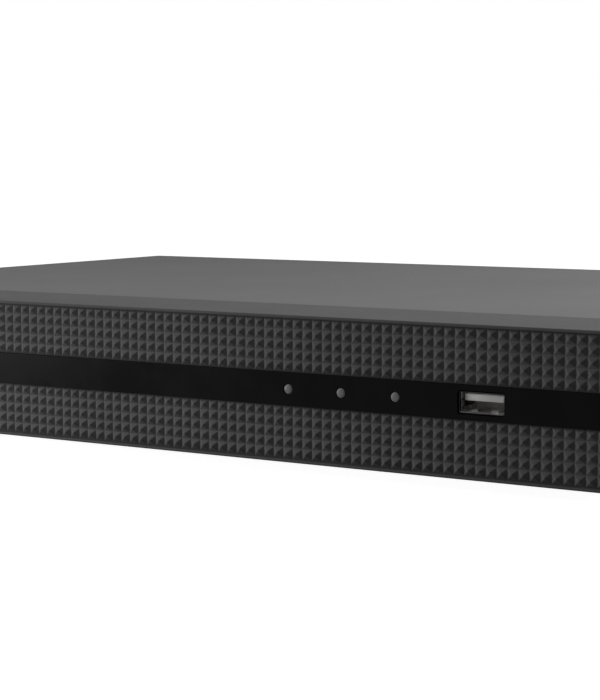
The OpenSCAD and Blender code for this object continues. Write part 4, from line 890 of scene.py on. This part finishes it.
def add_lan_contacts():
    """Eight spring contacts that slope into the network socket from its roof."""
    openings = frame["record"]["physics"]["openings"]
    box = next(item["box_m"] for item in openings if item["name"] == "lan_plug_opening")
    low, high = Vector(box[0]), Vector(box[1])
    count, pitch, wide, thick = 8, 1.02 * MM, 0.45 * MM, 0.3 * MM
    # From the socket's inner end, some way under the roof, to the roof just behind the mouth
    path = (
        (low.y - 0.2 * MM, high.z - 2.4 * MM), (low.y + 3.0 * MM, high.z - 2.8 * MM),
        (high.y - 2.2 * MM, high.z - 0.5 * MM), (high.y - 1.0 * MM, high.z),
    )
    bm = bmesh.new()
    for i in range(count):
        x = (low.x + high.x) / 2 + (i - (count - 1) / 2) * pitch
        add_strip(bm, Matrix.Translation((x, 0.0, 0.0)), path, wide, thick)
    add_piece("lan_contacts", bm, ["standoff_brass"], "case")


def add_rocker_marks():
    """A bar and a ring, painted on the two faces of the rocker."""
    low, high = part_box("rocker")
    # Least share of a face's normal along the rear, and along the normal of its half
    rearward, same_way = 0.8, 0.999
    polygons = frame["nodes"]["rocker"].data.polygons
    facing = [face for face in polygons if face.normal.y > rearward]
    proud, sunk = 0.03 * MM, -0.1 * MM
    bar_w, bar_h, outer, inner = 0.5 * MM, 2.8 * MM, 1.5 * MM, 1.05 * MM
    profile = ((outer, sunk), (outer, proud), (inner, proud), (inner, sunk))
    bm = bmesh.new()
    for upper in (True, False):
        half = [face for face in facing if (face.center.z > (low.z + high.z) / 2) == upper]
        normal = max(half, key=lambda face: face.area).normal
        flat = [face for face in half if face.normal.dot(normal) > same_way]
        area = sum(face.area for face in flat)
        middle = sum((face.center * face.area for face in flat), Vector()) / area
        place = Matrix.Translation(middle) @ normal.to_track_quat("Z", "Y").to_matrix().to_4x4()
        if upper:
            corner = (bar_w / 2, bar_h / 2, proud)
            add_block(bm, (-bar_w / 2, -bar_h / 2, sunk), corner, matrix=place)
        else:
            skin_all(bm, rings(bm, place, profile, steps=32), around=True)
    add_piece("rocker_marks", bm, ["white_plastic"], "switch")


# Boards

# What stands on the main board or reaches over it
BOARD_NODES = (
    "standoffs", "board_screws", "processor", "heat_sink", "chips", "capacitors", "inductors",
    "cell_holder", "drive_headers", "bnc_housing", "rca_housing", "hdmi_shell", "vga_shell",
    "lan_shell", "rear_usb_shell", "terminal_block", "dc_jack", "front_cable", "drive_cables",
    "switch_leads",
)

# Length, width and height of the small parts in millimetres
SMALL_PARTS = ((1.6, 0.8, 0.5), (2.0, 1.25, 0.6), (3.2, 1.6, 0.65))


def add_board_parts():
    """Chip resistors and capacitors in the free places of the main board."""
    low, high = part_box("main_board")
    gap, margin, tries = 0.8 * MM, 3 * MM, 4000
    cap_share, cap_proud, cap_ease = 0.2, 0.03 * MM, 0.05 * MM
    taken = []
    for node in BOARD_NODES:
        for points in islands(node):
            corner, other = extents(points)
            taken.append((corner.x - gap, corner.y - gap, other.x + gap, other.y + gap))
    seed = 11
    draw = random.Random(seed)
    bm = bmesh.new()
    placed = 0
    for _ in range(tries):
        if placed >= bpy.context.scene.recorder_hardware.small_parts:
            break
        long, wide, tall = (value * MM for value in draw.choice(SMALL_PARTS))
        across = draw.random() < 0.5
        half_x, half_y = (wide / 2, long / 2) if across else (long / 2, wide / 2)
        x = draw.uniform(low.x + margin, high.x - margin)
        y = draw.uniform(low.y + margin, high.y - margin)
        box = (x - half_x, y - half_y, x + half_x, y + half_y)
        if any(box[0] < t[2] and box[2] > t[0] and box[1] < t[3] and box[3] > t[1] for t in taken):
            continue
        taken.append((box[0] - gap, box[1] - gap, box[2] + gap, box[3] + gap))
        spin = Matrix.Rotation(QUARTER if across else 0.0, 4, "Z")
        place = Matrix.Translation((x, y, high.z)) @ spin
        cap = long * cap_share
        body = long / 2 - cap
        add_block(bm, (-body, -wide / 2, 0.0), (body, wide / 2, tall), matrix=place)
        side, top = wide / 2 + cap_proud, tall + cap_proud
        for near, far in ((-long / 2, -body), (body, long / 2)):
            add_block(bm, (near, -side, 0.0), (far, side, top), cap_ease, 1, place)
        placed += 1
    add_piece("board_small_parts", bm, ["ferrite", "plated_shell"], "case")


def add_chip_leads():
    """Rows of bent leads round the four square decoder chips."""
    pitch, wide, out, thick = 0.65 * MM, 0.28 * MM, 1.0 * MM, 0.16 * MM
    sunk, corners, square_within = 0.05 * MM, 1.6 * MM, 0.5 * MM
    knee_share, bend_share, foot_share = 0.45, 0.3, 0.5
    bm = bmesh.new()
    for points in islands("chips"):
        low, high = extents(points)
        size = high - low
        if abs(size.x - size.y) > square_within:
            continue
        edge, knee = size.x / 2, size.z * knee_share
        # Out of the side, down to the board and out along it
        path = (
            (edge - sunk, knee), (edge + out * bend_share, knee),
            (edge + out * foot_share, 0.0), (edge + out, 0.0),
        )
        count = int((size.x - corners) / pitch)
        middle = Matrix.Translation(((low.x + high.x) / 2, (low.y + high.y) / 2, low.z))
        for quarter in range(4):
            spin = middle @ Matrix.Rotation(quarter * QUARTER, 4, "Z")
            for i in range(count):
                x = (i - (count - 1) / 2) * pitch
                add_strip(bm, spin @ Matrix.Translation((x, 0.0, 0.0)), path, wide, thick)
    add_piece("chip_leads", bm, ["plated_shell"], "case")


def add_can_tops():
    """Bare aluminium tops of the capacitor cans, inside their crimped sleeves."""
    # Shares of the can's radius, and millimetres above the sleeve
    outline = ((0.82, -0.2), (0.82, 0.12), (0.76, 0.2), (0.5, 0.16), (0.1, 0.15))
    bm = bmesh.new()
    for points in islands("capacitors"):
        low, high = extents(points)
        radius = (high.x - low.x) / 2
        place = Matrix.Translation(((low.x + high.x) / 2, (low.y + high.y) / 2, high.z))
        turned(bm, place, [(radius * wide, up * MM) for wide, up in outline])
    add_piece("capacitor_tops", bm, ["sink_aluminium"], "case")


# Stage

# Place, aim and size of each soft lamp
LAMPS = {
    "key": ((-0.4, -0.5, 0.32), (-0.1, -0.12, 0.02), (0.25, 0.25)),
    "side": ((-0.4, -0.38, 0.045), (-0.15, -0.12, 0.03), (0.2, 0.08)),
    "top": ((0.54, 0.1, 0.3), (0.12, 0.0, 0.04), (0.3, 0.3)),
    "rear": ((0.3, 0.6, 0.06), (0.0, 0.13, 0.02), (0.3, 0.1)),
}


def set_camera(scene, studio):
    """The camera at the photograph's place and angle."""
    lens = bpy.data.cameras.new("front_camera")
    lens.lens, lens.sensor_width, lens.sensor_fit = studio.lens, 36.0, "AUTO"
    camera = bpy.data.objects.new("front_camera", lens)
    flat = math.cos(studio.pitch)
    ahead = Vector((
        -math.sin(studio.yaw) * flat, math.cos(studio.yaw) * flat, -math.sin(studio.pitch)
    ))
    camera.location = studio.camera_at
    camera.rotation_euler = ahead.to_track_quat("-Z", "Y").to_euler()
    scene.collection.objects.link(camera)
    scene.camera = camera


def add_lamp(name, place, aim, size, watts):
    """A soft lamp that faces a point."""
    lamp = bpy.data.lights.new(name, "AREA")
    lamp.shape = "RECTANGLE"
    lamp.size, lamp.size_y = size
    lamp.energy = watts
    holder = bpy.data.objects.new(name, lamp)
    holder.location = place
    holder.rotation_euler = (Vector(aim) - Vector(place)).to_track_quat("-Z", "Y").to_euler()
    bpy.context.scene.collection.objects.link(holder)


def grey_shader(tree, kind, grey=1.0):
    """A shader node of one grey."""
    node = tree.nodes.new(kind)
    node.inputs["Color"].default_value = (grey, grey, grey, 1.0)
    return node


def show_apart(tree, lighting, shown, kind):
    """Lets one shader light the object, while the camera, gloss and glass see another."""
    path = tree.nodes.new("ShaderNodeLightPath")
    gloss = joined(tree, path.outputs["Is Camera Ray"], path.outputs["Is Glossy Ray"], "MAXIMUM")
    seen = joined(tree, gloss, path.outputs["Is Transmission Ray"], "MAXIMUM")
    mix = tree.nodes.new("ShaderNodeMixShader")
    tree.links.new(seen, mix.inputs["Fac"])
    tree.links.new(lighting.outputs[0], mix.inputs[1])
    tree.links.new(shown.outputs[0], mix.inputs[2])
    tree.links.new(mix.outputs["Shader"], tree.nodes.new(kind).inputs["Surface"])


def set_surround(scene, studio):
    """A white surround that lights the object only a little."""
    world = bpy.data.worlds.new("studio")
    world.use_nodes = True
    tree = world.node_tree
    tree.nodes.clear()
    glow = grey_shader(tree, "ShaderNodeBackground")
    glow.inputs["Strength"].default_value = studio.ambient
    show_apart(tree, glow, grey_shader(tree, "ShaderNodeBackground"), "ShaderNodeOutputWorld")
    scene.world = world


def add_floor(studio):
    """A pale floor that looks white and keeps a soft shadow."""
    pale_grey = 0.95
    bm = bmesh.new()
    bmesh.ops.create_grid(bm, x_segments=8, y_segments=8, size=4.0)
    mesh = bpy.data.meshes.new("floor")
    bm.to_mesh(mesh)
    bm.free()
    floor = bpy.data.objects.new("floor", mesh)
    bpy.context.scene.collection.objects.link(floor)
    material = bpy.data.materials.new("floor_white")
    material.use_nodes = True
    material.cycles.emission_sampling = "NONE"
    tree = material.node_tree
    tree.nodes.clear()
    bounce = grey_shader(tree, "ShaderNodeBsdfDiffuse", studio.floor_tone)
    pale = grey_shader(tree, "ShaderNodeBsdfDiffuse", pale_grey)
    white = grey_shader(tree, "ShaderNodeEmission")
    white.inputs["Strength"].default_value = studio.floor_white
    shown = tree.nodes.new("ShaderNodeAddShader")
    tree.links.new(pale.outputs["BSDF"], shown.inputs[0])
    tree.links.new(white.outputs["Emission"], shown.inputs[1])
    show_apart(tree, bounce, shown, "ShaderNodeOutputMaterial")
    mesh.materials.append(material)


# Operators

class RECORDER_OT_stage(bpy.types.Operator):
    """Sets the camera, the soft lamps, the white surround and the floor"""

    bl_idname = "recorder.stage"
    bl_label = "Stage"

    def execute(self, context):
        studio = context.scene.recorder_studio
        context.scene.view_settings.view_transform = "Standard"
        set_camera(context.scene, studio)
        for name, (place, aim, size) in LAMPS.items():
            add_lamp(name + "_lamp", place, aim, size, getattr(studio, name + "_power"))
        set_surround(context.scene, studio)
        add_floor(studio)
        return {"FINISHED"}


class RECORDER_OT_front_panels(bpy.types.Operator):
    """Builds the two studded panels and eases the edges of the bezel and the band"""

    bl_idname = "recorder.front_panels"
    bl_label = "Front panels"

    def execute(self, context):
        edges = context.scene.recorder_edges
        add_stud_panel("upper_studs", "upper_panel")
        add_stud_panel("lower_studs", "lower_panel")
        ease_all(edges.bezel, "front_bezel")
        ease_all(edges.fine, "front_band")
        return {"FINISHED"}


class RECORDER_OT_indicators(bpy.types.Operator):
    """Builds the domed light pipes and finishes the lights behind them"""

    bl_idname = "recorder.indicators"
    bl_label = "Indicators"

    def execute(self, context):
        add_light_pipes()
        dress("indicator_leds")
        return {"FINISHED"}


class RECORDER_OT_usb_sockets(bpy.types.Operator):
    """Builds the front and rear USB sockets"""

    bl_idname = "recorder.usb_sockets"
    bl_label = "USB sockets"

    def execute(self, context):
        for end, way in (("front", 1), ("rear", -1)):
            shell = end + "_usb_shell"
            add_usb_shell(end + "_usb_case", shell, way)
            add_usb_tongue(end + "_usb_blade", shell, end + "_usb_tongue", way)
        return {"FINISHED"}


class RECORDER_OT_case(bpy.types.Operator):
    """Eases the edges of the cover, the tray and the feet"""

    bl_idname = "recorder.case"
    bl_label = "Case"

    def execute(self, context):
        edges = context.scene.recorder_edges
        ease_all(edges.sheet, "top_cover", "base_tray")
        ease_all(edges.moulding, "feet")
        return {"FINISHED"}


class RECORDER_OT_screws(bpy.types.Operator):
    """Builds the sets of screws and eases the edges of the ground screw"""

    bl_idname = "recorder.screws"
    bl_label = "Screws"

    def execute(self, context):
        for group in ("cover", "front", "board", "hdd", "fan"):
            add_screws(group + "_screws", group + "_screw_set")
        ease_all(context.scene.recorder_edges.moulding, "ground_screw")
        return {"FINISHED"}


class RECORDER_OT_rear_sockets(bpy.types.Operator):
    """Eases the edges of the rear sockets and builds their contacts"""

    bl_idname = "recorder.rear_sockets"
    bl_label = "Rear sockets"

    def execute(self, context):
        edges = context.scene.recorder_edges
        ease_all(edges.moulding, "bnc_housing", "rca_housing", "terminal_block", "dc_jack")
        ease_all(
            edges.fine, "bnc_shells", "bnc_cores", "rca_shells", "audio_in_insert",
            "audio_out_insert", "hdmi_shell", "hdmi_tongue", "vga_shell", "vga_insert", "vga_posts",
            "lan_shell", "lan_insert", "dc_pin",
        )
        add_video_contacts()
        add_lan_contacts()
        return {"FINISHED"}


class RECORDER_OT_power_switch(bpy.types.Operator):
    """Eases the edges of the power switch and its leads, and marks the rocker"""

    bl_idname = "recorder.power_switch"
    bl_label = "Power switch"

    def execute(self, context):
        edges = context.scene.recorder_edges
        ease_all(edges.moulding, "switch_housing")
        ease_all(edges.fine, "switch_leads")
        add_eased("rocker", edges.moulding, "switch")
        add_rocker_marks()
        return {"FINISHED"}


class RECORDER_OT_boards(bpy.types.Operator):
    """Eases the edges of the boards and what is on them, and builds leads and small parts"""

    bl_idname = "recorder.boards"
    bl_label = "Boards"

    def execute(self, context):
        edges = context.scene.recorder_edges
        dress("thermal_pad")
        ease_all(edges.moulding, "inductors", "capacitors", "cell_holder", "coin_cell")
        ease_all(
            edges.fine, "main_board", "front_board", "standoffs", "processor", "heat_sink", "chips",
            "drive_headers", "front_cable",
        )
        add_board_parts()
        add_chip_leads()
        add_can_tops()
        return {"FINISHED"}


class RECORDER_OT_disk(bpy.types.Operator):
    """Eases the edges of the hard disk's pieces and of its cables"""

    bl_idname = "recorder.disk"
    bl_label = "Hard disk"

    def execute(self, context):
        edges = context.scene.recorder_edges
        ease_all(edges.moulding, "hdd_casting", "hdd_lid", "drive_cables")
        ease_all(edges.fine, "hdd_board")
        add_eased("platters", edges.fine, "disk_stack")
        add_eased("head_arm", edges.fine, "disk_arm")
        return {"FINISHED"}


class RECORDER_OT_fan(bpy.types.Operator):
    """Eases the edges of the fan's frame and rotor"""

    bl_idname = "recorder.fan"
    bl_label = "Fan"

    def execute(self, context):
        edges = context.scene.recorder_edges
        ease_all(edges.moulding, "fan_frame")
        add_eased("fan_rotor", edges.fine, "fan")
        return {"FINISHED"}


OPERATORS = (
    RECORDER_OT_stage, RECORDER_OT_front_panels, RECORDER_OT_indicators, RECORDER_OT_usb_sockets,
    RECORDER_OT_case, RECORDER_OT_screws, RECORDER_OT_rear_sockets, RECORDER_OT_power_switch,
    RECORDER_OT_boards, RECORDER_OT_disk, RECORDER_OT_fan,
)
SETTINGS = {
    "recorder_studs": RecorderStuds,
    "recorder_edges": RecorderEdges,
    "recorder_hardware": RecorderHardware,
    "recorder_finishes": RecorderFinishes,
    "recorder_studio": RecorderStudio,
}


class RECORDER_PT_dressing(bpy.types.Panel):
    """Lists the recorder's pieces and the sizes and colours behind them"""

    bl_idname = "RECORDER_PT_dressing"
    bl_label = "Recorder"
    bl_space_type = "VIEW_3D"
    bl_region_type = "UI"
    bl_category = "Recorder"

    def draw(self, context):
        for operator in OPERATORS:
            self.layout.operator(operator.bl_idname)
        for name, group in SETTINGS.items():
            box = self.layout.box()
            for key in group.__annotations__:
                box.prop(getattr(context.scene, name), key)


CLASSES = (*SETTINGS.values(), *OPERATORS, RECORDER_PT_dressing)


def register():
    """Registers the classes and their settings."""
    for item in CLASSES:
        bpy.utils.register_class(item)
    for name, group in SETTINGS.items():
        setattr(bpy.types.Scene, name, PointerProperty(type=group))


def unregister():
    """Takes the settings and classes out again."""
    for name in SETTINGS:
        delattr(bpy.types.Scene, name)
    for item in reversed(CLASSES):
        bpy.utils.unregister_class(item)


def main():
    """Builds the whole recorder."""
    register()
    bpy.ops.recorder.stage()
    bpy.ops.recorder.front_panels()
    bpy.ops.recorder.indicators()
    bpy.ops.recorder.usb_sockets()
    bpy.ops.recorder.case()
    bpy.ops.recorder.screws()
    bpy.ops.recorder.rear_sockets()
    bpy.ops.recorder.power_switch()
    bpy.ops.recorder.boards()
    bpy.ops.recorder.disk()
    bpy.ops.recorder.fan()


if __name__ == "__main__":
    main()
